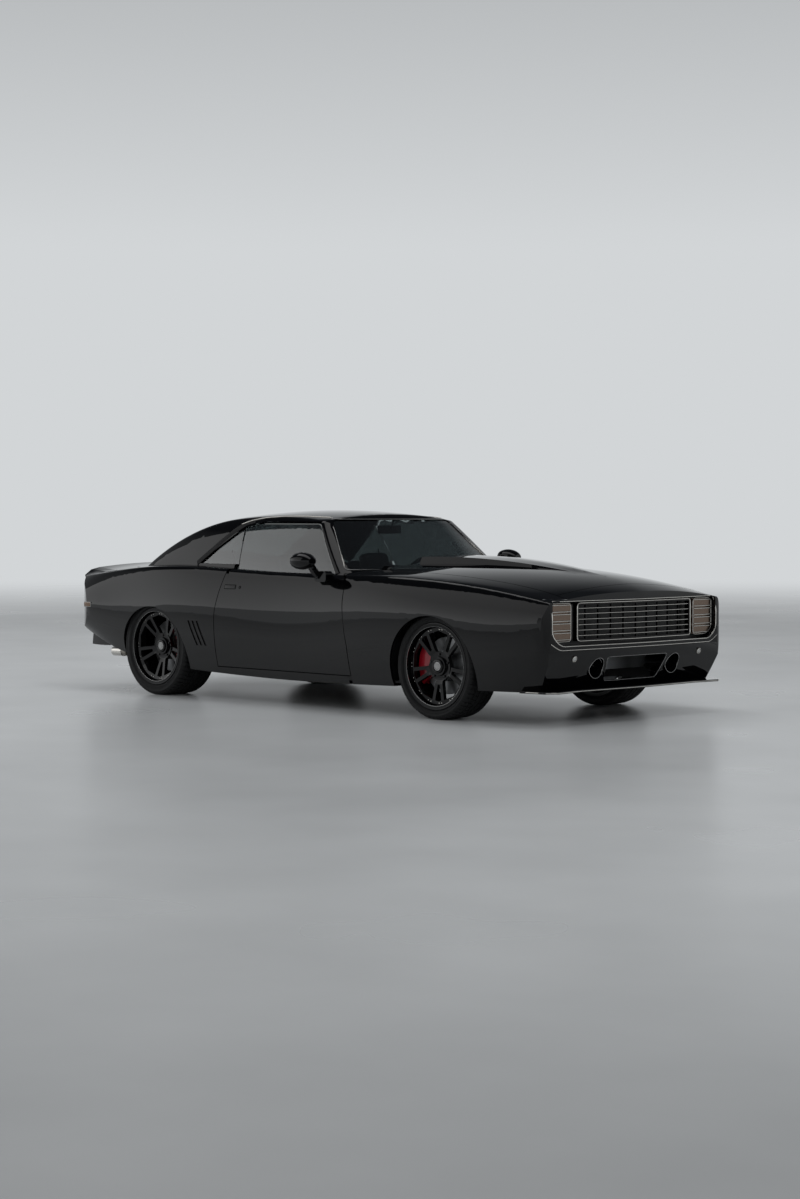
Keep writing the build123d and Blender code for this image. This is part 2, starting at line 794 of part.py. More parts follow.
def nose_opening(inset):
    """The wide opening in the surround, seen from the front."""
    with BuildSketch(Plane.YZ.offset(nose_x - surround_depth)) as opening:
        with BuildLine():
            Polyline(
                (-opening_half_width, opening_top_z),
                (opening_half_width, opening_top_z),
                (opening_half_width, opening_bottom_z + 60),
                (opening_half_width - 70, opening_bottom_z),
                (-opening_half_width + 70, opening_bottom_z),
                (-opening_half_width, opening_bottom_z + 60),
                close=True,
            )
        make_face()
        fillet(opening.vertices(), 20)
        if inset:
            offset(amount=-inset)
    return opening.sketch


with BuildPart() as grille_surround:
    add(outer)
    block((nose_x - surround_depth, nose_x + 1), (-surround_half_width, surround_half_width),
          (surround_bottom_z, surround_top_z), Mode.INTERSECT)
    extrude(nose_opening(0), amount=surround_depth + 10, mode=Mode.SUBTRACT)
finish(grille_surround.part, "grille_surround")

with BuildPart() as grille_panel:
    extrude(nose_opening(fit_gap), amount=6)
finish(grille_panel.part, "grille_panel")

# Grille: a frame, six bars and upright ribs behind them, all following the V of the nose
grille_half_width = 545
grille_top_z = 738
grille_bottom_z = 508
grille_rail = 12
grille_bars = 6
grille_back_x = nose_x - surround_depth + 6 + fit_gap
with BuildPart() as grille:
    for side in (-1, 1):
        face_x = nose_x - 30
        set_back = 46 / 800 * grille_half_width
        frame_plan = [
            (face_x, 0), (face_x - set_back, side * grille_half_width),
            (face_x - set_back - 34, side * grille_half_width), (face_x - 34, 0),
        ]
        for low in (grille_top_z - grille_rail, grille_bottom_z):
            plan_plate(frame_plan, (low, low + grille_rail))
        bar_pitch = (grille_top_z - grille_bottom_z) / (grille_bars + 1)
        for number in range(1, grille_bars + 1):
            middle = grille_bottom_z + number * bar_pitch
            bar_plan = [
                (face_x - 6, 0), (face_x - 6 - set_back, side * grille_half_width),
                (face_x - 24 - set_back, side * grille_half_width), (face_x - 24, 0),
            ]
            plan_plate(bar_plan, (middle - 4, middle + 4))
        end_plan = [
            (face_x - set_back, side * grille_half_width),
            (face_x - set_back, side * (grille_half_width - grille_rail)),
            (face_x - set_back - 34, side * (grille_half_width - grille_rail)),
            (face_x - set_back - 34, side * grille_half_width),
        ]
        plan_plate(end_plan, (grille_bottom_z, grille_top_z))
    for number in range(-4, 5):
        y = number * 112
        back_x = face_x - 26 - abs(y) * 46 / 800
        block((back_x - 8, back_x + 4), (y - 2, y + 2), (grille_bottom_z + 6, grille_top_z - 6))
    # Four stays carry it on the panel behind
    for y in (-360, -120, 120, 360):
        block((grille_back_x, face_x - 20), (y - 6, y + 6), (grille_top_z - grille_rail, grille_top_z))
finish(grille.part, "grille")


# Headlamp covers at each end: a ribbed glass-like shutter on a plain back
cover_inner_y = 590
cover_outer_y = 774
cover_top_z = 736
cover_bottom_z = 512
cover_ribs = 4
with BuildPart() as headlamp_covers:
    cover_x = nose_x - 84
    block((grille_back_x, cover_x), (cover_inner_y, cover_outer_y), (cover_bottom_z, cover_top_z))
    rib_pitch = (cover_top_z - cover_bottom_z) / cover_ribs
    for number in range(cover_ribs):
        middle = cover_bottom_z + (number + 0.5) * rib_pitch
        block((cover_x, cover_x + 12), (cover_inner_y + 4, cover_outer_y - 4), (middle - 20, middle + 20))
    extrude(nose_opening(fit_gap), amount=surround_depth, mode=Mode.INTERSECT)
    mirror(about=Plane.XZ)
finish(headlamp_covers.part, "headlamp_covers")

# Front valance with two round ducts and a central opening, and the splitter under it
valance_bottom_z = 216
duct_y = 365
duct_z = 338
duct_radius = 60
with BuildPart() as front_valance:
    add(body_skin.part)
    block((valance_rear_x, nose_x), (-wide, wide), (valance_bottom_z, surround_bottom_z - fit_gap),
          Mode.INTERSECT)
    front_plate([(-250, 256), (250, 256), (285, 400), (-285, 400)], (nose_x - 300, nose_x),
                Mode.SUBTRACT, radius=24)
    for side in (-1, 1):
        lengthwise(side * duct_y, duct_z, duct_radius + 5, (nose_x - 230, nose_x - 72))
    for side in (-1, 1):
        lengthwise(side * duct_y, duct_z, duct_radius, (nose_x - 240, nose_x), Mode.SUBTRACT)
finish(front_valance.part, "front_valance")

splitter_thickness = 13
with BuildPart() as front_splitter:
    splitter_top = valance_bottom_z - fit_gap
    plan_plate([
        (nose_x - 8, 0), (nose_x - 34, 560), (nose_x - 6, 770), (nose_x - 66, 842), (nose_x - 240, 868),
        (nose_x - 254, 820), (nose_x - 190, 0), (nose_x - 254, -820), (nose_x - 240, -868),
        (nose_x - 66, -842), (nose_x - 6, -770), (nose_x - 34, -560),
    ], (splitter_top - splitter_thickness, splitter_top), radius=12)
finish(front_splitter.part, "front_splitter")

# Tail: panel with two long lamps, bumper below it, and a valance
bumper_top_z = 545
bumper_bottom_z = 452
lamp_inner_y = 300
lamp_outer_y = 660
lamp_top_z = 702
lamp_bottom_z = 606


def lamp_outline(inset):
    """The left tail lamp seen from behind."""
    with BuildSketch(Plane.YZ.offset(tail_x - 20)) as outline:
        with Locations(((lamp_inner_y + lamp_outer_y) / 2, (lamp_top_z + lamp_bottom_z) / 2)):
            RectangleRounded(
                lamp_outer_y - lamp_inner_y - 2 * inset, lamp_top_z - lamp_bottom_z - 2 * inset, 24
            )
    return outline.sketch


with BuildPart() as tail_panel:
    add(body_skin.part)
    block((tail_x - 1, tail_joint_x - fit_gap), (0, wide), (bumper_top_z + 3, tail_top_z - fit_gap),
          Mode.INTERSECT)
    extrude(lamp_outline(0), amount=200, mode=Mode.SUBTRACT)
    mirror(about=Plane.XZ)
finish(tail_panel.part, "tail_panel")

with BuildPart() as tail_lamps:
    add(outer)
    extrude(lamp_outline(fit_gap), amount=200, mode=Mode.INTERSECT)
    block((tail_joint_x - 90, 0), (0, wide), (0, 1100), Mode.SUBTRACT)
    block((tail_x - 1, tail_x + 6), (0, wide), (0, 1100), Mode.SUBTRACT)
    mirror(about=Plane.XZ)
finish(tail_lamps.part, "tail_lamps")

with BuildPart() as rear_bumper:
    add(body_skin.part)
    block((tail_x - 1, tail_joint_x - fit_gap), (-wide, wide), (bumper_bottom_z, bumper_top_z),
          Mode.INTERSECT)
finish(rear_bumper.part, "rear_bumper")

with BuildPart() as rear_valance:
    plan_plate([
        (tail_x + 96, 0), (tail_x + 120, 640), (tail_x + 200, 784), (tail_x + 214, 784),
        (tail_x + 134, 630), (tail_x + 110, 0), (tail_x + 134, -630), (tail_x + 214, -784),
        (tail_x + 200, -784), (tail_x + 120, -640),
    ], (300, bumper_bottom_z - fit_gap))
finish(rear_valance.part, "rear_valance")

# Trunk lid with its two goosenecks and the ducktail
SpoilerStation = namedtuple("SpoilerStation", "x edge_z middle_z rise")
spoiler_stations = [
    SpoilerStation(tail_x + 252, 860, 890, 0.5),
    SpoilerStation(tail_x + 30, 838, 869, 42),
]
with BuildPart() as ducktail:
    for station in spoiler_stations:
        edge_z = station.edge_z + station.rise
        with BuildSketch(Plane.YZ.offset(station.x)):
            with BuildLine():
                ThreePointArc(
                    (-lid_half_width, edge_z), (0, station.middle_z + station.rise), (lid_half_width, edge_z)
                )
                Polyline(
                    (lid_half_width, edge_z),
                    (lid_half_width, edge_z - station.rise - 9),
                    (-lid_half_width, edge_z - station.rise - 9),
                    (-lid_half_width, edge_z),
                )
            make_face()
    loft()

lid_arm_reach = 185
lid_arm_drop = 55  # degrees, and how far the lid opens
with BuildPart() as trunk_lid:
    add(body_skin.part)
    block((tail_x - 1, lid_front_x), (-lid_half_width, lid_half_width), (tail_top_z + shut_gap, 1000),
          Mode.INTERSECT)
    add(ducktail.part)
    elbow_x = lid_hinge_x - lid_arm_reach * cos(radians(lid_arm_drop))
    elbow_z = lid_hinge_z - lid_arm_reach * sin(radians(lid_arm_drop))
    for side in (-1, 1):
        arm = (side * lid_arm_y - 4, side * lid_arm_y + 4)
        across(lid_hinge_x, lid_hinge_z, 16, arm)
        side_plate([
            (lid_hinge_x + 9, lid_hinge_z - 7), (elbow_x + 4, elbow_z - 15),
            (elbow_x - 250, elbow_z + 160), (elbow_x - 254, elbow_z + 188),
            (elbow_x - 234, elbow_z + 188), (elbow_x - 2, elbow_z + 16),
            (lid_hinge_x - 11, lid_hinge_z + 7),
        ], arm)
        across(lid_hinge_x, lid_hinge_z, lid_pin_radius + pin_gap, (arm[0] - 1, arm[1] + 1), Mode.SUBTRACT)
finish(trunk_lid.part, "trunk_lid")

# Mirrors on the doors: a bullet-shaped head on a stalk, with a foot on the door's shoulder
mirror_y = 985
mirror_z = 968
MirrorStation = namedtuple("MirrorStation", "x half_width half_height")
mirror_stations = [
    MirrorStation(288, 70, 50),
    MirrorStation(335, 76, 56),
    MirrorStation(390, 62, 44),
    MirrorStation(426, 30, 20),
]
with BuildPart() as mirror_foot:
    block((338, 448), (828, 888), (832, 902))
    fillet(mirror_foot.edges().filter_by(Axis.Y), 22)

with BuildPart() as mirror_left:
    for station in mirror_stations:
        with BuildSketch(Plane.YZ.offset(station.x)):
            with Locations((mirror_y, mirror_z)):
                Ellipse(station.half_width, station.half_height)
    loft()
    front_plate([(848, 850), (890, 850), (966, 930), (934, 952)], (352, 384))
    add(mirror_foot.part)
    add(outer, mode=Mode.SUBTRACT)
finish(mirror_left.part, "mirror_left")
finish(on_right(mirror_left.part), "mirror_right")

# Floor, firewall and rear bulkhead
tunnel_half_width = 140
tunnel_top_z = 400
tunnel_wall = 6
trunk_floor_z = 330
trunk_floor_x = (tail_x + 225, -1750)
trunk_floor_y = 780  # just inside the returns of the quarters
floor_line = [
    (firewall_x - fit_gap, floor_z), (-780, floor_z), (-1040, 420), (-1600, 450),
    (trunk_floor_x[1], trunk_floor_z), (trunk_floor_x[0], trunk_floor_z),
]
with BuildPart() as floor_pan:
    side_plate(sheet(floor_line, panel_wall), (-wide, wide))
    block((-1040, firewall_x - fit_gap), (-tunnel_half_width, tunnel_half_width), (floor_z, tunnel_top_z))
    block(
        (-1900, firewall_x),
        (-tunnel_half_width + tunnel_wall, tunnel_half_width - tunnel_wall),
        (0, tunnel_top_z - tunnel_wall),
        Mode.SUBTRACT,
    )
    block((-1340, -1040), (-tunnel_half_width, tunnel_half_width), (394, 436))
    block((-1340, -1034), (-134, 134), (300, 428), Mode.SUBTRACT)
    left_edge = [
        (700, 700), (door_hinge_x + 7, 700), (door_hinge_x + 7, door_inner_y), (post_rear_x + 2, door_inner_y),
        (post_rear_x + 2, door_inner_y - panel_wall), (-934, door_inner_y - panel_wall), (-934, rear_tub_y),
        (-1708, rear_tub_y), (-1708, 860), (-2200, 800),
    ]
    plan_plate(
        [(x, y - fit_gap) for x, y in left_edge] + [(x, fit_gap - y) for x, y in reversed(left_edge)],
        (0, 1000), Mode.INTERSECT,
    )
    add(inside, mode=Mode.INTERSECT)
    block(trunk_floor_x, (-trunk_floor_y, trunk_floor_y), (trunk_floor_z, trunk_floor_z + panel_wall))
finish(floor_pan.part, "floor_pan")

under_cowl = body_solid(cowl_drop + skin + fit_gap)
with BuildPart() as firewall:
    block((firewall_x, firewall_x + 8), (-699.7, 699.7), (floor_z, 1000))
    block((firewall_x - 1, firewall_x + 9), (-160, 160), (0, tunnel_top_z - tunnel_wall), Mode.SUBTRACT)
    add(under_cowl, mode=Mode.INTERSECT)
finish(firewall.part, "firewall")

with BuildPart() as rear_bulkhead:
    block((bulkhead_x - panel_wall, bulkhead_x), (-734.7, 734.7), (437, 1000))
    for side in (-1, 1):
        across(
            rear_axle_x, rear_tyre_radius, rear_tub_radius + panel_wall + fit_gap,
            sorted((side * (rear_tub_y - fit_gap), side * 900)), Mode.SUBTRACT,
        )
    add(inside, mode=Mode.INTERSECT)
finish(rear_bulkhead.part, "rear_bulkhead")

# Dashboard with the steering column, and the wheel that turns in it
wheel_centre = Vector(60, 370, 805)
column_lean = 22
column_way = Vector(cos(radians(column_lean)), 0, -sin(radians(column_lean)))


def column_plane(distance):
    """The plane across the steering column, at a distance down it from the wheel."""
    return Plane(origin=wheel_centre + column_way * distance, x_dir=(0, 1, 0), z_dir=column_way)


with BuildPart() as dashboard:
    side_plate([
        (330, 880), (330, 800), (372, 700), (430, 640), (560, 600), (599.7, 600), (599.7, 900),
        (500, 896),
    ], (-690, 690))
    add(under_cowl, mode=Mode.INTERSECT)
    with BuildSketch(column_plane(100)):
        Circle(28)
    extrude(amount=360)
    with BuildSketch(column_plane(90)):
        Circle(12 + pin_gap)
    extrude(amount=300, mode=Mode.SUBTRACT)
finish(dashboard.part, "dashboard")

with BuildPart() as steering_wheel:
    with BuildSketch(Plane(origin=wheel_centre, x_dir=column_way, z_dir=(0, -1, 0))):
        with Locations((0, 172)):
            Circle(13)
    revolve(axis=Axis(wheel_centre, column_way), revolution_arc=360)
    with BuildSketch(column_plane(-6)):
        for turn in (90, 210, 330):
            with Locations(Rotation(0, 0, turn)):
                with Locations((85, 0)):
                    Rectangle(168, 30)
    extrude(amount=8)
    with BuildSketch(column_plane(-14)):
        Circle(38)
    extrude(amount=70)
    with BuildSketch(column_plane(50)):
        Circle(12)
    extrude(amount=320)
finish(steering_wheel.part, "steering_wheel")

# Seats and console
with BuildPart() as front_seats:
    side_plate([
        (180, 230), (190, 390), (120, 410), (-200, 360), (-300, 640), (-390, 880), (-440, 870),
        (-400, 560), (-330, 300), (-300, 230),
    ], (150, 640), radius=24)
    side_plate([(-350, 820), (-400, 1000), (-460, 990), (-430, 820)], (260, 530), radius=20)
    block((-260, 140), (190, 600), (floor_z + panel_wall + fit_gap, 250))
    mirror(about=Plane.XZ)
finish(front_seats.part, "front_seats")

with BuildPart() as rear_seat:
    side_plate([
        (-560, floor_z + panel_wall + fit_gap), (-560, 400), (-600, 430), (-900, 390), (-1010, 700),
        (-1060, 850), (bulkhead_x + fit_gap, 860), (bulkhead_x + fit_gap, 438), (-1040, 431),
        (-779.5, floor_z + panel_wall + fit_gap),
    ], (tunnel_half_width + fit_gap, rear_tub_y - 6))
    mirror(about=Plane.XZ)
    side_plate([
        (-940, 440), (-1010, 700), (-1060, 850), (bulkhead_x + fit_gap, 860), (bulkhead_x + fit_gap, 440),
    ], (-tunnel_half_width - 1, tunnel_half_width + 1))
finish(rear_seat.part, "rear_seat")

with BuildPart() as console:
    side_plate([
        (340, tunnel_top_z + fit_gap), (340, 470), (200, 440), (-300, 460), (-320, tunnel_top_z + fit_gap),
    ], (-110, 110), radius=10)
    upright(120, 0, 9, (430, 520))
    with Locations((120, 0, 528)):
        Sphere(22)
finish(console.part, "console")

# Engine, gearbox and driveline
engine_rear_x = 830
shaft_front_z = 265
gearbox_rear_x = 250
with BuildPart() as engine_block:
    front_plate([
        (-150, 270), (150, 270), (200, 420), (330, 560), (300, 700), (150, 800), (-150, 800),
        (-300, 700), (-330, 560), (-200, 420),
    ], (engine_rear_x, 1480), radius=20)
    for side in (-1, 1):
        block((1100, 1180), sorted((side * 150, side * 430)), (300.3, 360))
        block((1100, 1180), sorted((side * 372, side * 428)), (280, 301))
finish(engine_block.part, "engine_block")

with BuildPart() as gearbox:
    with BuildSketch(Plane.YZ.offset(engine_rear_x - fit_gap)):
        with Locations((0, 330)):
            Circle(175)
    with BuildSketch(Plane.YZ.offset(620)):
        with Locations((0, 290)):
            Circle(110)
    loft()
    lengthwise(0, 275, 85, (430, 620))
    lengthwise(0, shaft_front_z, 62, (gearbox_rear_x, 440))
finish(gearbox.part, "gearbox")

pinion_x = rear_axle_x + 190
shaft_rise = rear_tyre_radius - shaft_front_z
with BuildPart() as propeller_shaft:
    shaft_length = sqrt((gearbox_rear_x - pinion_x) ** 2 + shaft_rise ** 2)
    shaft_way = Vector(pinion_x - gearbox_rear_x, 0, shaft_rise).normalized()
    start = Vector(gearbox_rear_x, 0, shaft_front_z) + shaft_way * 14
    with BuildSketch(Plane(origin=start, x_dir=(0, 1, 0), z_dir=shaft_way)):
        Circle(38)
    extrude(amount=shaft_length - 30)
    lengthwise(0, shaft_front_z, 26, (gearbox_rear_x - 40, gearbox_rear_x - fit_gap))
    lengthwise(0, rear_tyre_radius, 26, (pinion_x + fit_gap, pinion_x + 40))
finish(propeller_shaft.part, "propeller_shaft")

# Rear axle with leaf springs
spring_line = [
    (-840, 225), (-1050, 270), (rear_axle_x, 290), (-1600, 280), (-1930, 296),
]
with BuildPart() as rear_axle:
    across(rear_axle_x, rear_tyre_radius, 40, (-640, 640))
    across(rear_axle_x, rear_tyre_radius, spindle_radius, (-790, 790))
    with Locations((rear_axle_x, 0, rear_tyre_radius)):
        Sphere(80)
    lengthwise(0, rear_tyre_radius, 46, (rear_axle_x, pinion_x))
    for side in (-1, 1):
        across(rear_axle_x, rear_tyre_radius, 62, sorted((side * 640, side * 652)))
        side_plate(sheet(spring_line, 16), sorted((side * 505, side * 560)))
        side_plate([(-862, 235), (-832, 232), (-832, 247), (-862, 272)], sorted((side * 505, side * 560)))
        block((-1935, -1915), sorted((side * 505, side * 560)), (300, 329.7))
finish(rear_axle.part, "rear_axle")

with BuildPart() as fuel_tank:
    block((-2130, -1770), (-420, 420), (210, 329.7))
    fillet(fuel_tank.edges().filter_by(Axis.Z), 30)
finish(fuel_tank.part, "fuel_tank")

with BuildPart() as exhaust:
    for side in (-1, 1):
        with BuildLine() as route:
            FilletPolyline(
                (840, side * 250, 168), (-650, side * 250, 168), (-950, side * 465, 186),
                (-1150, side * 465, 236), (tail_x + 60, side * 465, 250), radius=90,
            )
        with BuildSketch(Plane(origin=(840, side * 250, 168), x_dir=(0, 1, 0), z_dir=(-1, 0, 0))):
            Circle(25)
        sweep(path=route.wires()[0])
        lengthwise(side * 465, 250, 34, (tail_x + 40, tail_x + 190))
        block((-560, -60), sorted((side * 160, side * 320)), (122, 204.7))
        block((840, 1000), sorted((side * 225, side * 275)), (150, 275))
finish(exhaust.part, "exhaust")

# Radiator in its support between the aprons
with BuildPart() as radiator:
    block((2000, 2052), (-451.7, 451.7), (300.3, 1000))
    add(inside, mode=Mode.INTERSECT)
    block((1990, 2030), (-360, 360), (330, 740), Mode.SUBTRACT)
finish(radiator.part, "radiator")

# Front subframe with arms and dampers; the eyes hold the knuckles' upright pins
rail_line = [
    (250, 150), (650, 150), (1000, 190), (2120, 240), (2120, 300), (1000, 265), (660, 204.7), (250, 204.7),
]
with BuildPart() as front_subframe:
    side_plate(rail_line, (372, 428))
    block((front_axle_x - 50, front_axle_x + 50), (-1, 380), (195, 255))
    block((front_axle_x - 70, front_axle_x + 70), (380, 428), (250, 490))
    for arm_z in (lower_arm_z, upper_arm_z):
        plan_plate([
            (front_axle_x - 110, 420), (front_axle_x - 24, steer_y - 5), (front_axle_x + 24, steer_y - 5),
            (front_axle_x + 110, 420), (front_axle_x + 60, 420), (front_axle_x, 520), (front_axle_x - 60, 420),
        ], (arm_z - 8, arm_z + 8))
        upright(front_axle_x, steer_y, 24, (arm_z - 14, arm_z + 14))
    upright(front_axle_x, 548, 30, (lower_arm_z, upper_arm_z))
    block((front_axle_x - 110, front_axle_x + 110), (400, 428), (upper_arm_z - 30, upper_arm_z + 8))
    for arm_z in (lower_arm_z, upper_arm_z):
        upright(front_axle_x, steer_y, ball_pin_radius + pin_gap, (arm_z - 20, arm_z + 20), Mode.SUBTRACT)
    mirror(about=Plane.XZ)
finish(front_subframe.part, "front_subframe")

# Knuckles: upright with its pins, spindle and brake caliper
disc_radius = 178
disc_inner_w = -20
disc_outer_w = 8
brake_gap = 6


def caliper(x, y, z, side, behind):
    """Two halves either side of the disc, joined over its rim, behind or ahead of the hub."""
    turn = 180 if behind else 0
    with BuildSketch() as wedge:
        with BuildLine():
            Polyline(
                (0, 0), *[(300 * cos(radians(turn + a)), 300 * sin(radians(turn + a))) for a in (-34, 34)],
                close=True,
            )
        make_face()
    with BuildPart() as piece:
        plane_y = y + side * (disc_inner_w - brake_gap - 22)
        span = 22 + brake_gap + disc_outer_w - disc_inner_w + brake_gap + 22
        with BuildSketch(Plane(origin=(x, plane_y, z), x_dir=(1, 0, 0), z_dir=(0, side, 0))):
            Circle(214)
            Circle(118, mode=Mode.SUBTRACT)
            add(wedge.sketch, mode=Mode.INTERSECT)
        extrude(amount=span)
        with BuildSketch(Plane(origin=(x, y + side * (disc_inner_w - brake_gap), z), x_dir=(1, 0, 0),
                               z_dir=(0, side, 0))):
            Circle(disc_radius + brake_gap)
        extrude(amount=disc_outer_w - disc_inner_w + 2 * brake_gap, mode=Mode.SUBTRACT)
    return piece.part


wheel_y = front_track / 2
with BuildPart() as knuckle_left:
    upright(front_axle_x, steer_y, ball_pin_radius, (lower_arm_z - 18, upper_arm_z + 18))
    block((front_axle_x - 22, front_axle_x + 22), (steer_y - 15, steer_y + 15),
          (lower_arm_z + 20, upper_arm_z - 20))
    across(front_axle_x, front_tyre_radius, spindle_radius, (steer_y, wheel_y + 40))
    add(caliper(front_axle_x, wheel_y, front_tyre_radius, 1, True))
    block((front_axle_x - 130, front_axle_x), (wheel_y - 48, wheel_y - 27), (300, 360))
finish(knuckle_left.part, "knuckle_left")
finish(on_right(knuckle_left.part), "knuckle_right")

with BuildPart() as rear_calipers:
    rear_y = rear_track / 2
    add(caliper(rear_axle_x, rear_y, rear_tyre_radius, 1, False))
    block((rear_axle_x + 62, rear_axle_x + 125), (rear_y - 48, rear_y - 27), (313, 373))
    with BuildSketch(Plane.XZ.offset(-(rear_y - 27))):
        with Locations((rear_axle_x, rear_tyre_radius)):
            Circle(90)
            Circle(40 + fit_gap, mode=Mode.SUBTRACT)
    extrude(amount=71)
    mirror(about=Plane.XZ)
finish(rear_calipers.part, "rear_calipers")


# Wheels: each is a tyre, a rim with ten twin spokes, and a brake disc on its hub
def wheel_plane(x, y, z, side):
    """A half-section plane of a wheel: radius across, then width towards its outer side."""
    return Plane(origin=(x, y, z), x_dir=(1, 0, 0), z_dir=(0, 0, side))


def tyre(x, y, z, side, radius, width, rim_width):
    """A low tyre, hollow, on its bead seats: one half of its section, and its mirror."""
    seat_r = bead_radius + fit_gap
    bead_w = rim_width / 2 - 7 - fit_gap
    edge_w = width / 2
    flange_r = rim_lip_radius + 1
    half_section = [
        (radius, edge_w - 38), (radius - 5, edge_w - 20), (radius - 18, edge_w - 8),
        ((flange_r + radius) / 2, edge_w), (flange_r, bead_w), (seat_r, bead_w),
        (seat_r, bead_w - 16), ((radius + bead_radius) / 2, edge_w - 12), (radius - 12, edge_w - 34),
    ]
    with BuildPart() as piece:
        with BuildSketch(wheel_plane(x, y, z, side)):
            with BuildLine():
                Polyline(
                    *half_section, *[(r, -w) for r, w in reversed(half_section)], close=True,
                )
            make_face()
        revolve(axis=Axis((x, y, z), (0, 1, 0)), revolution_arc=360)
    return piece.part


spoke_pairs = 5


def rim(x, y, z, side, width):
    """A deep rim with a spoked centre cut from one dished plate."""
    half = width / 2
    with BuildPart() as piece:
        with BuildSketch(wheel_plane(x, y, z, side)):
            with BuildLine():
                Polyline(
                    (rim_lip_radius, half), (rim_lip_radius, half - 6), (bead_radius, half - 7),
                    (bead_radius, half - 34), (240, half - 50), (236, -half + 46), (bead_radius, -half + 30),
                    (bead_radius, -half + 7), (rim_lip_radius, -half + 6), (rim_lip_radius, -half),
                    (bead_radius - 8, -half), (bead_radius - 8, -half + 26), (228, -half + 44),
                    (232, half - 52), (bead_radius - 8, half - 38), (bead_radius - 8, half), close=True,
                )
            make_face()
            with BuildLine():
                Polyline(
                    (0, 44.3), (80, 44.3), (110, 50), (237, half - 54), (237, half - 30), (110, 78),
                    (86, 70), (62, 70), (58, 84), (0, 86), close=True,
                )
            make_face()
        revolve(axis=Axis((x, y, z), (0, 1, 0)), revolution_arc=360)
        with BuildSketch(Plane(origin=(x, y, z), x_dir=(1, 0, 0), z_dir=(0, side, 0))):
            for pair in range(spoke_pairs):
                for middle, spread, inner_spread, low, high in (
                    (90 + pair * 72, 22.5, 19, 94, 214), (126 + pair * 72, 7.2, 4.6, 114, 214),
                ):
                    corners = [
                        (low * cos(radians(middle - inner_spread)), low * sin(radians(middle - inner_spread))),
                        (high * cos(radians(middle - spread)), high * sin(radians(middle - spread))),
                        (high * 1.03 * cos(radians(middle)), high * 1.03 * sin(radians(middle))),
                        (high * cos(radians(middle + spread)), high * sin(radians(middle + spread))),
                        (low * cos(radians(middle + inner_spread)), low * sin(radians(middle + inner_spread))),
                    ]
                    with BuildLine():
                        FilletPolyline(*corners, radius=4, close=True)
                    make_face()
        extrude(amount=half, mode=Mode.SUBTRACT)
    return piece.part


def brake_disc(x, y, z, side):
    """The brake disc with its hat, and the hub that turns on the spindle."""
    with BuildPart() as piece:
        with BuildSketch(wheel_plane(x, y, z, side)):
            with BuildLine():
                Polyline(
                    (spindle_radius + pin_gap, disc_inner_w), (40, disc_inner_w), (40, 30), (86, 30), (86, disc_inner_w),
                    (disc_radius, disc_inner_w), (disc_radius, disc_outer_w), (96, disc_outer_w), (96, 44),
                    (spindle_radius + pin_gap, 44), close=True,
                )
            make_face()
        revolve(axis=Axis((x, y, z), (0, 1, 0)), revolution_arc=360)
    return piece.part


WheelPlace = namedtuple("WheelPlace", "name x y radius tyre_width rim_width side")
wheels = [
    WheelPlace("front_left", front_axle_x, front_track / 2, front_tyre_radius, front_tyre_width, front_rim_width, 1),
    WheelPlace("front_right", front_axle_x, -front_track / 2, front_tyre_radius, front_tyre_width, front_rim_width, -1),
    WheelPlace("rear_left", rear_axle_x, rear_track / 2, rear_tyre_radius, rear_tyre_width, rear_rim_width, 1),
    WheelPlace("rear_right", rear_axle_x, -rear_track / 2, rear_tyre_radius, rear_tyre_width, rear_rim_width, -1),
]
for w in wheels:
    finish(tyre(w.x, w.y, w.radius, w.side, w.radius, w.tyre_width, w.rim_width), f"tyre_{w.name}")
    finish(rim(w.x, w.y, w.radius, w.side, w.rim_width), f"rim_{w.name}")
    finish(brake_disc(w.x, w.y, w.radius, w.side), f"brake_disc_{w.name}")
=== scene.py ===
import math
import bmesh
import bpy
import numpy as np
from mathutils import Matrix, Vector
from mathutils.bvhtree import BVHTree
from mathutils.kdtree import KDTree


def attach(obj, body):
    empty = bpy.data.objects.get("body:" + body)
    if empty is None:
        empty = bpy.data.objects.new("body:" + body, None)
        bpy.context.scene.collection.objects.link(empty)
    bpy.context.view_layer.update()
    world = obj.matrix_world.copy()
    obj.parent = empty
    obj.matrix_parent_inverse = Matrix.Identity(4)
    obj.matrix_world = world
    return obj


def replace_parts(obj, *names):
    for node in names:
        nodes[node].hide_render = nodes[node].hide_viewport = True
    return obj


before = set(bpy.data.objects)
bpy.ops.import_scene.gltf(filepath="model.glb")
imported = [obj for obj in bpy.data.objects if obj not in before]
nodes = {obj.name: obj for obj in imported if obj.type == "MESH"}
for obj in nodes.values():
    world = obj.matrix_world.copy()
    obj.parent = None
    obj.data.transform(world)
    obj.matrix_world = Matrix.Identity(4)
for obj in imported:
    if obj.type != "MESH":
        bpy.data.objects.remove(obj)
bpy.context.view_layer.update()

# A gloss-black hardtop coupe. Metres, +X to the nose, +Y to the car's left, +Z up.
noseX = 2.362  # the foremost point of the car
sides = (("left", 1), ("right", -1))
wheelNames = [axle + "_" + label for axle in ("front", "rear") for label, _ in sides]
print("frame loaded,", len(nodes), "nodes")


def mm(value):
    return value / 1000


def perMetre(size):  # a pattern's scale, from the size of one of its marks in millimetres
    return 1000 / size


def hexColour(code):  # sRGB hex to the linear values that shaders take
    parts = [int(code[i:i + 2], 16) / 255 for i in (1, 3, 5)]
    return tuple(p / 12.92 if p <= 0.04045 else ((p + 0.055) / 1.055) ** 2.4 for p in parts) + (1.0,)


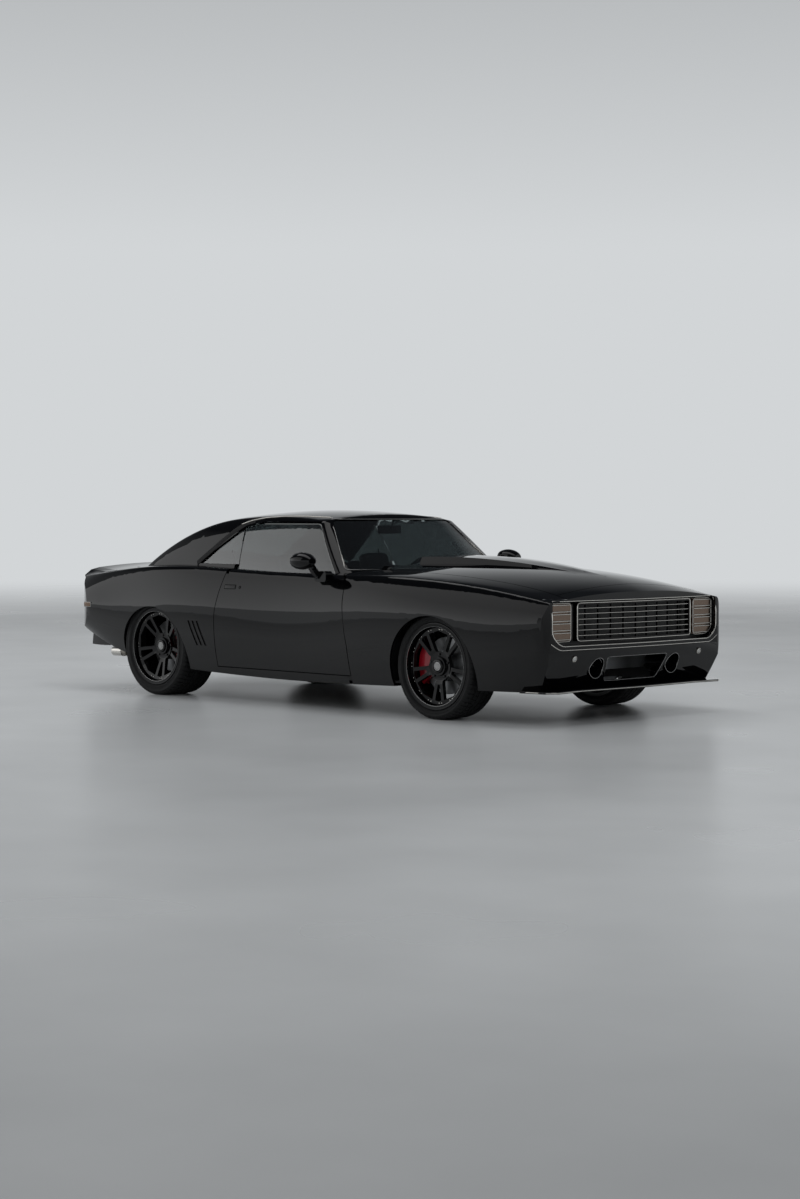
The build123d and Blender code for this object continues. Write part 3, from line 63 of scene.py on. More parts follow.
def addNode(tree, kind, settings=None, links=None):  # a link takes a socket, or a node for its first output
    node = tree.nodes.new(kind)
    for name, value in (settings or {}).items():
        if name == "ramp":
            for element, (position, code) in zip(node.color_ramp.elements, value):
                element.position = position
                element.color = hexColour(code)
        elif name in node.inputs:
            node.inputs[name].default_value = value
        else:
            setattr(node, name, value)
    for name, source in (links or {}).items():
        tree.links.new(source.outputs[0] if isinstance(source, bpy.types.Node) else source, node.inputs[name])
    return node


def startMaterial(name):  # an empty tree, and the place on the object that its patterns are drawn by
    material = bpy.data.materials.new(name)
    material.use_nodes = True
    tree = material.node_tree
    tree.nodes.clear()
    return material, tree, addNode(tree, "ShaderNodeTexCoord").outputs["Object"]


def finishMaterial(material, settings, links):
    tree = material.node_tree
    shader = addNode(tree, "ShaderNodeBsdfPrincipled", settings, links)
    addNode(tree, "ShaderNodeOutputMaterial", {}, {"Surface": shader})
    return material


# Paints, metals and the rest: sizes and depths in millimetres

blackEnamel = {
    "colour": "#030304", "coatIor": 1.42, "coatRough": 0.015, "under": 0.0, "rough": (0.28, 0.4), "flow": 60,
    "peel": 9.0, "peelDepth": 0.003, "peelStrength": 0.35,
}


def makeEnamel(name, values):  # sprayed and polished: deep colour under a hard clear coat, faint orange peel
    material, tree, place = startMaterial(name)
    flow = addNode(tree, "ShaderNodeTexNoise", {
        "Scale": perMetre(values["flow"]), "Detail": 3,
    }, {"Vector": place})
    peel = addNode(tree, "ShaderNodeTexNoise", {
        "Scale": perMetre(values["peel"]), "Detail": 2,
    }, {"Vector": place})
    low, high = values["rough"]
    return finishMaterial(material, {
        "Base Color": hexColour(values["colour"]), "Coat Weight": 1.0, "Coat IOR": values["coatIor"],
        "Coat Roughness": values["coatRough"], "IOR": 1.5, "Specular IOR Level": values["under"],
    }, {
        "Roughness": addNode(tree, "ShaderNodeMapRange", {"To Min": low, "To Max": high}, {"Value": flow}),
        "Coat Normal": addNode(tree, "ShaderNodeBump", {
            "Strength": values["peelStrength"], "Distance": mm(values["peelDepth"]),
        }, {"Height": peel}),
    })


def makePlainCoat(name, low, high, rough, grain, depth):  # satin paint or moulded plastic with a fine texture
    material, tree, place = startMaterial(name)
    tone = addNode(tree, "ShaderNodeTexNoise", {"Scale": perMetre(90), "Detail": 4}, {"Vector": place})
    fine = addNode(tree, "ShaderNodeTexNoise", {"Scale": perMetre(grain), "Detail": 3}, {"Vector": place})
    return finishMaterial(material, {"IOR": 1.5}, {
        "Base Color": addNode(tree, "ShaderNodeValToRGB", {"ramp": ((0.3, low), (0.7, high))}, {"Fac": tone}),
        "Roughness": addNode(tree, "ShaderNodeMapRange", {
            "To Min": rough - 0.07, "To Max": rough + 0.08,
        }, {"Value": fine}),
        "Normal": addNode(tree, "ShaderNodeBump", {"Strength": 1.0, "Distance": mm(depth)}, {"Height": fine}),
    })


def makeMetal(name, colour, rough, size, stretch=(1, 1, 1), depth=0.01):  # bare or plated metal
    material, tree, place = startMaterial(name)
    lay = addNode(tree, "ShaderNodeMapping", {"Scale": stretch}, {"Vector": place})
    marks = addNode(tree, "ShaderNodeTexNoise", {"Scale": perMetre(size), "Detail": 3}, {"Vector": lay})
    return finishMaterial(material, {"Base Color": hexColour(colour), "Metallic": 1.0}, {
        "Roughness": addNode(tree, "ShaderNodeMapRange", {
            "To Min": rough * 0.75, "To Max": rough * 1.3,
        }, {"Value": marks}),
        "Normal": addNode(tree, "ShaderNodeBump", {
            "Strength": 1.0, "Distance": mm(depth),
        }, {"Height": marks}),
    })


def makeGlass(name, colour):  # float glass: even tint, sharp reflections, a trace of waviness
    material, tree, place = startMaterial(name)
    wave = addNode(tree, "ShaderNodeTexNoise", {"Scale": perMetre(400), "Detail": 0}, {"Vector": place})
    return finishMaterial(material, {
        "Base Color": hexColour(colour), "Transmission Weight": 1.0, "IOR": 1.5, "Roughness": 0.0,
        "Coat Weight": 1.0, "Coat IOR": 1.7, "Coat Roughness": 0.01,
    }, {"Normal": addNode(tree, "ShaderNodeBump", {"Strength": 0.2, "Distance": mm(0.02)}, {"Height": wave})})


def makeLens(name, colour, pitch, depth):  # moulded lens: clear depth, upright flutes
    material, tree, place = startMaterial(name)
    flutes = addNode(tree, "ShaderNodeTexWave", {  # its bands lie 2 pi times the pitch apart
        "bands_direction": "Y", "Scale": perMetre(pitch) / 20,
    }, {"Vector": place}).outputs["Fac"]
    return finishMaterial(material, {
        "Base Color": hexColour(colour), "Roughness": 0.12, "Transmission Weight": 0.25, "IOR": 1.49,
        "Coat Weight": 1.0, "Coat Roughness": 0.02,
    }, {
        "Normal": addNode(tree, "ShaderNodeBump", {
            "Strength": 1.0, "Distance": mm(depth),
        }, {"Height": flutes}),
    })


def makeRubber(name, low, high):  # vulcanised rubber: dull, slightly dusty, fine mould texture
    material, tree, place = startMaterial(name)
    dust = addNode(tree, "ShaderNodeTexNoise", {"Scale": perMetre(120), "Detail": 5}, {"Vector": place})
    wear = addNode(tree, "ShaderNodeTexNoise", {"Scale": perMetre(30), "Detail": 4}, {"Vector": place})
    mould = addNode(tree, "ShaderNodeTexNoise", {"Scale": perMetre(1.6), "Detail": 2}, {"Vector": place})
    return finishMaterial(material, {"IOR": 1.52, "Specular IOR Level": 0.35}, {
        "Base Color": addNode(tree, "ShaderNodeValToRGB", {"ramp": ((0.3, low), (0.7, high))}, {"Fac": dust}),
        "Roughness": addNode(tree, "ShaderNodeMapRange", {"To Min": 0.62, "To Max": 0.82}, {"Value": wear}),
        "Normal": addNode(tree, "ShaderNodeBump", {"Strength": 0.5, "Distance": mm(0.15)}, {"Height": mould}),
    })


def makeLeather(name, low, high):  # finished hide: small pebbled grain with a soft sheen
    material, tree, place = startMaterial(name)
    tone = addNode(tree, "ShaderNodeTexNoise", {"Scale": perMetre(70), "Detail": 4}, {"Vector": place})
    grain = addNode(tree, "ShaderNodeTexVoronoi", {
        "Scale": perMetre(3.0), "feature": "SMOOTH_F1",
    }, {"Vector": place}).outputs["Distance"]
    return finishMaterial(material, {"IOR": 1.48}, {
        "Base Color": addNode(tree, "ShaderNodeValToRGB", {"ramp": ((0.3, low), (0.7, high))}, {"Fac": tone}),
        "Roughness": addNode(tree, "ShaderNodeMapRange", {"To Min": 0.4, "To Max": 0.62}, {"Value": grain}),
        "Normal": addNode(tree, "ShaderNodeBump", {"Strength": 0.6, "Distance": mm(0.25)}, {"Height": grain}),
    })


# Deep black on the body, a softer one on the wheels, and a red that shows through the spokes
glossBlackEnamel = makeEnamel("glossBlackEnamel", blackEnamel)
glossBlackWheelPaint = makeEnamel("glossBlackWheelPaint", {
    **blackEnamel, "colour": "#040405", "coatIor": 1.38,
})
redCaliperEnamel = makeEnamel("redCaliperEnamel", {**blackEnamel, "colour": "#8F0C1E", "under": 0.3})
# Quiet, nearly black surfaces, of which only raking light shows the grain
satinChassisPaint = makePlainCoat("satinChassisPaint", "#0D0E0F", "#17181A", 0.5, 2.5, 0.05)
mouldedBlackPlastic = makePlainCoat("mouldedBlackPlastic", "#0B0C0D", "#131415", 0.45, 1.5, 0.08)
blackCarpetPile = makePlainCoat("blackCarpetPile", "#0B0B0C", "#1A1A1B", 0.9, 3.0, 1.2)
castIronPaint = makePlainCoat("castIronPaint", "#161718", "#232527", 0.55, 6.0, 0.3)
# soot-black steel for the plates in the pipe ends: soot, and painted shade of the bore
sootAndShadeSteel = makePlainCoat("sootAndShadeSteel", "#060606", "#100F0E", 0.85, 2.0, 0.1)
# Bright beads, darker rings, the smoked ribs over the lamps, and worked metal under the hood and the floor
polishedNickel = makeMetal("polishedNickel", "#D9D6D0", 0.09, 40)
darkNickel = makeMetal("darkNickel", "#9C9C9B", 0.16, 30)
blackNickel = makeMetal("blackNickel", "#2E2D2D", 0.22, 30)
smokedBronze = makeMetal("smokedBronze", "#7A6B60", 0.24, 14, (1, 1, 0.2), 0.03)
machinedAluminium = makeMetal("machinedAluminium", "#C4C6C8", 0.24, 6, depth=0.02)
castAluminium = makeMetal("castAluminium", "#8E9092", 0.5, 3, depth=0.1)
brushedSteel = makeMetal("brushedSteel", "#8B8780", 0.32, 3, (0.06, 1, 1), 0.03)
turnedIron = makeMetal("turnedIron", "#7C7D7E", 0.36, 2, (1, 0.1, 1), 0.03)
# Glass that is darker at the sides than in front, and lenses whose flutes break up the light
tintedScreenGlass = makeGlass("tintedScreenGlass", "#96A0A0")
tintedSideGlass = makeGlass("tintedSideGlass", "#5E6666")
fluteClearLens = makeLens("fluteClearLens", "#C9CCCB", 12, 0.6)
redLens = makeLens("redLens", "#6A060A", 18, 0.8)
amberLens = makeLens("amberLens", "#6E4A1E", 10, 0.5)
# Dull black rubber, and hide that is a little lighter on its grain
tyreRubber = makeRubber("tyreRubber", "#0B0B0C", "#151617")
sealRubber = makeRubber("sealRubber", "#0A0A0B", "#121213")
blackHide = makeLeather("blackHide", "#0E0E0F", "#19191A")
print("materials made")


def dress(material, *names):
    for name in names:
        for place in nodes[name].material_slots:
            place.material = material


dress(
    glossBlackEnamel, "body_shell", "front_fenders", "hood", "header_panel", "grille_surround",
    "front_valance", "front_splitter", "tail_panel", "rear_bumper", "trunk_lid", "mirror_left",
    "mirror_right", "door_left", "door_right",
)
dress(
    satinChassisPaint, "rear_wheel_tubs", "inner_fenders", "firewall", "rear_bulkhead", "rear_valance",
    "front_subframe", "rear_axle", "propeller_shaft", "fuel_tank", "floor_pan",
)
dress(mouldedBlackPlastic, "grille_panel", "dashboard", "console")
dress(blackNickel, "grille")
dress(smokedBronze, "headlamp_covers")
dress(redLens, "tail_lamps")
dress(tintedScreenGlass, "windscreen", "rear_window")
dress(tintedSideGlass, "door_glass_left", "door_glass_right", "quarter_windows")
dress(blackHide, "front_seats", "rear_seat", "steering_wheel")
dress(castIronPaint, "engine_block")
dress(castAluminium, "gearbox", "radiator")
dress(brushedSteel, "exhaust")
dress(redCaliperEnamel, "knuckle_left", "knuckle_right", "rear_calipers")
for wheelName in wheelNames:
    dress(turnedIron, "brake_disc_" + wheelName)
    dress(glossBlackWheelPaint, "rim_" + wheelName)
    dress(tyreRubber, "tyre_" + wheelName)


panelShading = {
    "sharpFrom": 28,  # degrees between facets from which an edge is a real one
    "weld": 0.005, "spacing": 18, "least": 14, "most": 95,  # millimetres: seams, samples, and the fit's reach
    "reach": 3.0, "depth": 0.25,  # the reach in facet widths, and its depth as a share of the reach
    "falloff": 3, "hold": 0.02, "fewest": 9,  # how facets far off fade, how firm the fit is, and its samples
}
flatFrom = math.cos(math.radians(panelShading["sharpFrom"]))
panelNames = (
    "body_shell", "front_fenders", "hood", "header_panel", "front_valance", "tail_panel", "rear_bumper",
    "trunk_lid", "door_left", "door_right", "windscreen", "rear_window", "quarter_windows", "door_glass_left",
    "door_glass_right",
)


def shadeCasting(node):
    # solids come split along their seams: they are welded for shading, and only the real edges stay sharp
    mesh = node.data
    seams = {}
    for polygon in mesh.polygons:
        for loop in polygon.loop_indices:
            edge = mesh.edges[mesh.loops[loop].edge_index]
            ends = frozenset(tuple(round(c, 6) for c in mesh.vertices[v].co) for v in edge.vertices)
            seams.setdefault(ends, []).append((edge, polygon.normal.copy()))
    for sharing in seams.values():
        turnedBy = min(first[1].dot(last[1]) for first in sharing for last in sharing)
        if turnedBy < flatFrom:
            for edge, _ in sharing:
                edge.use_edge_sharp = True
    weld = node.modifiers.new("seams", "WELD")
    weld.merge_threshold = mm(panelShading["weld"])
    shading = node.modifiers.new("shading", "WEIGHTED_NORMAL")
    shading.keep_sharp = True


def panelSamples():
    # points spread evenly over the panels and panes, each with its facet's normal and its share of the area
    goldenStep = 0.618034  # spreads the points of one facet evenly
    points, normals, shares = [], [], []
    for name in panelNames:
        mesh = nodes[name].data
        mesh.calc_loop_triangles()
        for triangle in mesh.loop_triangles:
            first, second, third = (mesh.vertices[v].co for v in triangle.vertices)
            count = max(1, round(triangle.area / mm(panelShading["spacing"]) ** 2))
            for k in range(count):
                along, across = math.sqrt((k + 0.5) / count), (k * goldenStep + 0.5) % 1
                point = first * (1 - along) + second * (along * (1 - across)) + third * (along * across)
                points.append(point)
                normals.append(triangle.normal)
                shares.append(triangle.area / count)
    tree = KDTree(len(points))
    for number, point in enumerate(points):
        tree.insert(point, number)
    tree.balance()
    return tree, np.array(points), np.array([tuple(n) for n in normals]), np.array(shares)


def pressedNormal(place, mean, width, samples):
    # the normal that the curved sheet has at this place: a straight-line fit through the facets round it,
    # neighbouring panels too, so that a reflection runs on over the gaps
    tree, points, normals, shares = samples
    reach = min(max(width * panelShading["reach"], mm(panelShading["least"])), mm(panelShading["most"]))
    near = [number for _, number, _ in tree.find_range(place, reach)]
    offset = points[near] - np.array(place)
    facing = np.array(mean)
    kept = (normals[near] @ facing > flatFrom) & (np.abs(offset @ facing) < reach * panelShading["depth"])
    if np.count_nonzero(kept) < panelShading["fewest"]:
        return mean
    offset, found = offset[kept] / reach, normals[near][kept]
    weight = shares[near][kept] * np.exp(-panelShading["falloff"] * np.sum(offset ** 2, axis=1))
    side = mean.orthogonal().normalized()
    along, across = offset @ np.array(side), offset @ np.array(mean.cross(side))
    level = np.stack([np.ones(len(offset)), along, across], axis=1)
    weighed = (level * weight[:, None]).T
    pull = np.diag([0, panelShading["hold"], panelShading["hold"]]) * weight.sum()
    return Vector(np.linalg.solve(weighed @ level + pull, weighed @ found)[0]).normalized()


def shadePanel(node, samples):
    mesh = node.data
    corners = {}
    for polygon in mesh.polygons:
        places = [mesh.vertices[v].co for v in polygon.vertices]
        longest = max((places[i] - places[i - 1]).length for i in range(len(places)))
        width = 2 * polygon.area / max(longest, 1e-6)
        for loop, place in zip(polygon.loop_indices, places):
            key = tuple(round(c, 6) for c in place)
            corners.setdefault(key, []).append((loop, polygon.normal.copy(), polygon.area, width))
    shaded = [Vector((0, 0, 1))] * len(mesh.loops)
    for place, around in corners.items():
        while around:
            group, grew = [around.pop()], True
            while grew:
                joining = [c for c in around if any(c[1].dot(member[1]) > flatFrom for member in group)]
                grew = bool(joining)
                group += joining
                around = [c for c in around if c not in joining]
            area = sum(member[2] for member in group)
            mean = sum((member[1] * (member[2] + 1e-9) for member in group), Vector()).normalized()
            width = sum(member[3] * member[2] for member in group) / max(area, 1e-9)
            normal = pressedNormal(place, mean, width, samples)
            for member in group:
                shaded[member[0]] = normal
    mesh.normals_split_custom_set(shaded)


for name, node in nodes.items():
    node.data.shade_smooth()
    node.data.set_sharp_from_angle(angle=math.radians(panelShading["sharpFrom"]))
    if name not in panelNames:
        shadeCasting(node)
samples = panelSamples()
print("panel samples", len(samples[1]))
for name in panelNames:
    shadePanel(nodes[name], samples)
print("CAD nodes dressed")


# Finishes: a material, and the name of a slot beside it

bodyPaint = (glossBlackEnamel, "body_paint")
wheelPaint = (glossBlackWheelPaint, "black_wheel")
tyreTread = (tyreRubber, "tyre_rubber")
brightTrim = (polishedNickel, "dark_bright_metal")
darkTrim = (darkNickel, "dark_bright_metal")
seal = (sealRubber, "black_plastic")
plastic = (mouldedBlackPlastic, "black_plastic")
carpet = (blackCarpetPile, "black_plastic")
hide = (blackHide, "black_leather")
machinedCover = (machinedAluminium, "cast_aluminium")
steelPipe = (brushedSteel, "exhaust_steel")
polishedPipe = (polishedNickel, "exhaust_steel")
turnedPulley = (turnedIron, "painted_iron")


# Shapes

def addPiece(name, shape, finish, body):  # puts a mesh or a curve on its body
    material, slot = finish
    shape.materials.append(material)
    piece = bpy.data.objects.new(name, shape)
    bpy.context.scene.collection.objects.link(piece)
    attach(piece, body)
    return piece


def softened(mesh, angle):  # shaded smooth, with edges sharp from this many degrees
    mesh.shade_smooth()
    mesh.set_sharp_from_angle(angle=math.radians(angle))
    return mesh


def pieceFrom(name, shape, finish, body="body", smooth=35):  # shape is a list of vertices and one of faces
    mesh = bpy.data.meshes.new(name)
    mesh.from_pydata([tuple(v) for v in shape[0]], [], shape[1])
    mesh.validate()
    work = bmesh.new()
    work.from_mesh(mesh)
    bmesh.ops.recalc_face_normals(work, faces=work.faces)
    work.to_mesh(mesh)
    work.free()
    return addPiece(name, softened(mesh, smooth) if smooth else mesh, finish, body)


def skinned(rings, joined=True, closed=True):
    # vertices and faces laid over rings of points: the last meets the first, or else both ends are capped
    count = len(rings[0])
    faces = []
    for i in range(len(rings) if joined else len(rings) - 1):
        after = (i + 1) % len(rings)
        for j in range(count if closed else count - 1):
            k = (j + 1) % count
            faces.append((i * count + j, after * count + j, after * count + k, i * count + k))
    if not joined:
        faces.append(tuple(range(count)))
        faces.append(tuple((len(rings) - 1) * count + j for j in reversed(range(count))))
    return [point for ring in rings for point in ring], faces


def gathered(shapes):  # several shapes as one
    vertices, faces = [], []
    for points, quads in shapes:
        faces += [tuple(len(vertices) + corner for corner in quad) for quad in quads]
        vertices += points
    return vertices, faces


def circle(steps):
    return [2 * math.pi * i / steps for i in range(steps)]


def revolved(profile, place, steps, closed=True):
    # a profile of (radius, height) in millimetres, carried round an axis on which place puts its points
    return skinned([
        [place(mm(radius) * math.cos(turn), mm(radius) * math.sin(turn), mm(height))
         for radius, height in profile] for turn in circle(steps)
    ], True, closed)


def lathe(name, centre, axis, profile, finish, body="body", steps=64, closed=True):
    spin = Vector((0, 0, 1)).rotation_difference(Vector(axis)).to_matrix()

    def place(a, b, height):
        return Vector(centre) + spin @ Vector((a, b, height))

    return pieceFrom(name, revolved(profile, place, steps, closed), finish, body)


def lampRound(name, centre, normal, radius, depth, lens, bezel, slot, body="body"):
    # a small round lamp, dial or lock: a domed face in a bright ring
    face = [(0.02, depth + 2), (radius * 0.6, depth + 1), (radius * 0.9, depth - 2), (radius, -4)]
    ring = [(radius, -4), (radius, depth), (radius + 2, depth + 1.4), (radius + 4, depth), (radius + 4.4, -4)]
    lathe(name + "_lens", centre, normal, face, (lens, slot), body, 28, False)
    lathe(name + "_bezel", centre, normal, ring, (bezel, slot), body, 28, False)


def trimLine(name, points, radius, finish, body="body", closed=False, smooth=True):  # a bead along points
    line = bpy.data.curves.new(name, "CURVE")
    line.dimensions = "3D"
    line.bevel_depth = mm(radius)
    line.bevel_resolution = 2
    line.resolution_u = 4
    line.use_fill_caps = not closed
    spline = line.splines.new("NURBS" if smooth else "POLY")
    spline.points.add(len(points) - 1)
    for point, place in zip(spline.points, points):
        point.co = (*place, 1)
    spline.use_cyclic_u = closed
    if smooth:
        spline.order_u = 3
        spline.use_endpoint_u = not closed
    return addPiece(name, line, finish, body)


def alongLine(corners, step, closed=True):  # points every step metres along straight runs
    points = []
    ends = corners[1:] + (corners[:1] if closed else [])
    for first, last in zip(corners, ends):
        count = max(1, round(math.dist(first, last) / step))
        for i in range(count):
            share = i / count
            points.append(tuple(a + (b - a) * share for a, b in zip(first, last)))
    if not closed:
        points.append(corners[-1])
    return points


# Views: where a ray starts for a pair of coordinates, and the way that it goes

fromFront = (lambda y, z: (4.0, y, z), (-1, 0, 0))
fromBehind = (lambda y, z: (-4.0, y, z), (1, 0, 0))
fromAbove = (lambda x, y: (x, y, 3.0), (0, 0, -1))
fromSides = {side: (lambda x, z, side=side: (x, side * 2.0, z), (0, -side, 0)) for _, side in sides}
skins = {}


def skinPoint(node, start, way, lift=0.0):  # where a ray meets a CAD panel, lifted off it by some millimetres
    if node not in skins:
        mesh = nodes[node].data
        skins[node] = BVHTree.FromPolygons([v.co for v in mesh.vertices], [p.vertices for p in mesh.polygons])
    place, normal, _, _ = skins[node].ray_cast(Vector(start), Vector(way))
    if place is None:
        return None, None
    if normal.dot(Vector(way)) > 0:
        normal = -normal
    return place + normal * mm(lift), normal


def seenPoint(node, place, view, lift=0.0):
    start, way = view
    return skinPoint(node, start(*place), way, lift)


def onSkin(node, places, view, lift=0.0):
    found = [seenPoint(node, place, view, lift)[0] for place in places]
    return [point for point in found if point is not None]


def skinTrim(name, node, path, step, view, lift, radius, finish, body="body", closed=False):
    # a bead laid on a panel along a path of two coordinates
    points = onSkin(node, alongLine(path, step, closed), view, lift)
    if len(points) > 2:
        trimLine(name, points, radius, finish, body, closed)


def skinBand(name, node, path, half, proud, view, finish):
    # a flat moulding that lies on a panel, along a path of two coordinates
    rows = []
    for i, (a, b) in enumerate(path):
        before, after = path[max(0, i - 1)], path[min(len(path) - 1, i + 1)]
        run = Vector((after[0] - before[0], after[1] - before[1])).normalized()
        row = []
        for share, lift in ((-1, -2), (-1, 0.6), (-0.8, proud), (0.8, proud), (1, 0.6), (1, -2)):
            place = (a - run.y * half * share, b + run.x * half * share)
            row.append(seenPoint(node, place, view, lift)[0])
        if all(point is not None for point in row):
            rows.append(row)
    return pieceFrom(name, skinned(rows, False), finish, smooth=50)


def frameOn(normal, up=(0, 0, 1)):  # axes that lie on a panel: along, up and out
    out = Vector(normal).normalized()
    along = Vector(up).cross(out).normalized()
    return Matrix((along, out.cross(along), out)).transposed()


def softBlock(name, centre, size, edge, finish, axes=Matrix.Identity(3), body="body", levels=2):
    # a block with rounded edges, its size in millimetres along its own three axes
    work = bmesh.new()
    bmesh.ops.create_cube(work, size=1.0)
    for vertex in work.verts:
        vertex.co = Vector([share * mm(length) for share, length in zip(vertex.co, size)])
    bmesh.ops.bevel(work, geom=list(work.edges), offset=mm(edge), segments=levels + 1, profile=0.6,
                    affect="EDGES")
    mesh = bpy.data.meshes.new(name)
    work.to_mesh(mesh)
    work.free()
    mesh.transform(axes.to_4x4())
    mesh.transform(Matrix.Translation(Vector(centre)))
    return addPiece(name, softened(mesh, 40), finish, body)


# Wheels: sizes in millimetres

axles = {
    "front": {"x": 1425, "y": 760, "radius": 330, "width": 255, "rim": 230},
    "rear": {"x": -1318, "y": 750, "radius": 343, "width": 300, "rim": 280},
}
tyreMould = {
    "pitches": 64, "ribs": 5, "grooveDepth": 6.5, "grooveWidth": 8, "sipeDepth": 5.0, "vee": 0.9,
    "shoulder": 30, "bead": 262, "beadInset": 7.5, "lining": 282, "wall": 16,
    "steps": ((0.0, 0), (0.05, 1), (0.17, 1), (0.22, 0), (0.62, 0)),  # share of a pitch, and 1 for cut
}
wheelTrim = {
    "faceFrom": 110, "faceTo": 237, "faceOut": 78, "faceInset": 30,  # the spokes' face, from hub to rim
    "boltPairs": 15, "boltCircle": 229, "bolt": (3.8, 4, 10), "pairTurn": 0.05,  # radius, height and sides
    "nuts": 5, "nutCircle": 74, "nut": (8, 8, 6), "nutBase": 69,
}


def makeTyre(name, centre, side, radius, width, rimWidth):  # profile points: radius, offset and cut of a sipe
    edge = width / 2
    bead = rimWidth / 2 - tyreMould["beadInset"]
    tread = edge - tyreMould["shoulder"]
    outer = [
        (tyreMould["bead"], bead + 0.4, 0), (271.5, bead + 0.6, 0), (276, bead + 6.5, 0),
        (281, edge - 4.5, 0), (285, edge - 2.6, 0), (287, edge - 0.7, 0), (291, edge - 0.7, 0),
        (293, edge - 1.9, 0),
        (radius - 27, edge - 0.6, 0), (radius - 25, edge, 0), (radius - 22, edge - 0.3, 0),
        (radius - 20, edge - 2.2, 0), (radius - 13, edge - 6, 1.5), (radius - 6, edge - 13, 3.5),
        (radius - 1.5, edge - 21, 4.5), (radius, tread, 5),
    ]
    ribs = tyreMould["ribs"]
    ribWidth = (2 * tread - (ribs - 1) * tyreMould["grooveWidth"]) / ribs
    floor = radius - tyreMould["grooveDepth"]
    middle = []
    at = tread
    for rib in range(ribs):
        sipe = tyreMould["sipeDepth"] if rib != ribs // 2 else 0  # the middle rib runs round uncut
        if rib:
            middle += [(radius, at, sipe)]
        middle += [(radius + 0.1, at - ribWidth / 2, sipe)]
        at -= ribWidth
        middle += [(radius, at, sipe)]
        if rib < ribs - 1:
            middle += [(floor, at - 1, 0)]
            at -= tyreMould["grooveWidth"]
            middle += [(floor, at + 1, 0)]
    inner = [(r, -w, d) for r, w, d in reversed(outer[:-1])]
    liningHalf = [
        (tyreMould["bead"], bead - 8, 0), (tyreMould["lining"], edge - 20, 0),
        (radius - tyreMould["wall"], tread, 0),
    ]
    lining = [(r, -w, d) for r, w, d in liningHalf] + liningHalf[::-1]
    pitch = 2 * math.pi / tyreMould["pitches"]
    rings = []
    for turn in range(tyreMould["pitches"]):
        for share, cut in tyreMould["steps"]:
            ring = []
            for r, w, d in outer + middle + inner + lining:
                angle = pitch * (turn + share + tyreMould["vee"] * min(abs(w), tread) / tread)
                reach = mm(r - d * cut)
                ring.append((
                    centre[0] + reach * math.cos(angle), centre[1] + side * mm(w),
                    centre[2] + reach * math.sin(angle),
                ))
            rings.append(ring)
    piece = pieceFrom("dressed_tyre_" + name, skinned(rings), tyreTread, "wheel_" + name, 40)
    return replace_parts(piece, "tyre_" + name)


def stud(middle, side, base, radius, height, sidesCount):  # a round or six-sided head on a wheel's face
    x, y, z = middle
    rings = []
    for share, rise in ((1, 0), (1, 0.6), (0.75, 1), (0.3, 1.1)):
        reach, out = mm(radius * share), y + side * mm(base + height * rise)
        rings.append([(x + reach * math.cos(a), out, z + reach * math.sin(a)) for a in circle(sidesCount)])
    return skinned(rings, False)


def dressWheel(name, side, x, y, radius, width, rim):
    centre, body, half = (mm(x), side * mm(y), mm(radius)), "wheel_" + name, rim / 2
    makeTyre(name, centre, side, radius, width, rim)

    def turned(part, finish, steps, profile):
        pieceFrom(part + "_" + name, revolved(
            profile, lambda a, b, out: (centre[0] + a, centre[1] + side * out, centre[2] + b), steps,
        ), finish, body)

    def studs(part, finish, kind, base, turns):
        reach, size = mm(wheelTrim[kind + "Circle"]), wheelTrim[kind]
        heads = [stud((centre[0] + reach * math.cos(turn), centre[1], centre[2] + reach * math.sin(turn)),
                      side, base, *size) for turn in turns]
        pieceFrom(part + "_" + name, gathered(heads), finish, body, 30)

    turned("rim_lip", wheelPaint, 128, [
        (262.5, half - 1), (263.5, half + 1.4), (266.5, half + 2.2), (269.6, half + 1.2), (270.6, half - 2),
        (269.5, half - 3), (263, half - 3),
    ])
    turned("lip_line", darkTrim, 128, [
        (245.6, half - 4), (245.7, half + 0.4), (247.0, half + 0.8), (247.6, half - 2),
    ])
    faceLength = wheelTrim["faceTo"] - wheelTrim["faceFrom"]
    boltShare = (wheelTrim["boltCircle"] - wheelTrim["faceFrom"]) / faceLength
    boltOut = wheelTrim["faceOut"] + boltShare * (half - wheelTrim["faceInset"] - wheelTrim["faceOut"])
    pairTurns = [2 * math.pi * (i + 0.5) / wheelTrim["boltPairs"] for i in range(wheelTrim["boltPairs"])]
    boltTurns = [turn + sway * wheelTrim["pairTurn"] for turn in pairTurns for sway in (-1, 1)]
    studs("rim_bolts", brightTrim, "bolt", boltOut - 1, boltTurns)
    nutTurns = [2 * math.pi * (i + 0.25) / wheelTrim["nuts"] for i in range(wheelTrim["nuts"])]
    studs("wheel_nuts", wheelPaint, "nut", wheelTrim["nutBase"], nutTurns)
    turned("hub_bezel", wheelPaint, 64, [(29, 84), (43, 84), (44, 90), (41, 94), (33, 95.5), (29.5, 93)])
    turned("centre_cap", darkTrim, 64, [
        (0.1, 84), (28.6, 84), (29, 91), (27, 93.5), (23, 94), (21.5, 92.4), (17, 92.2), (16, 93.6),
        (0.1, 94.4),
    ])


for axle, sizes in axles.items():
    for label, side in sides:
        dressWheel(axle + "_" + label, side, **sizes)
print("wheels dressed")


# Nose: bright outlines of the surround, grille and lamp covers

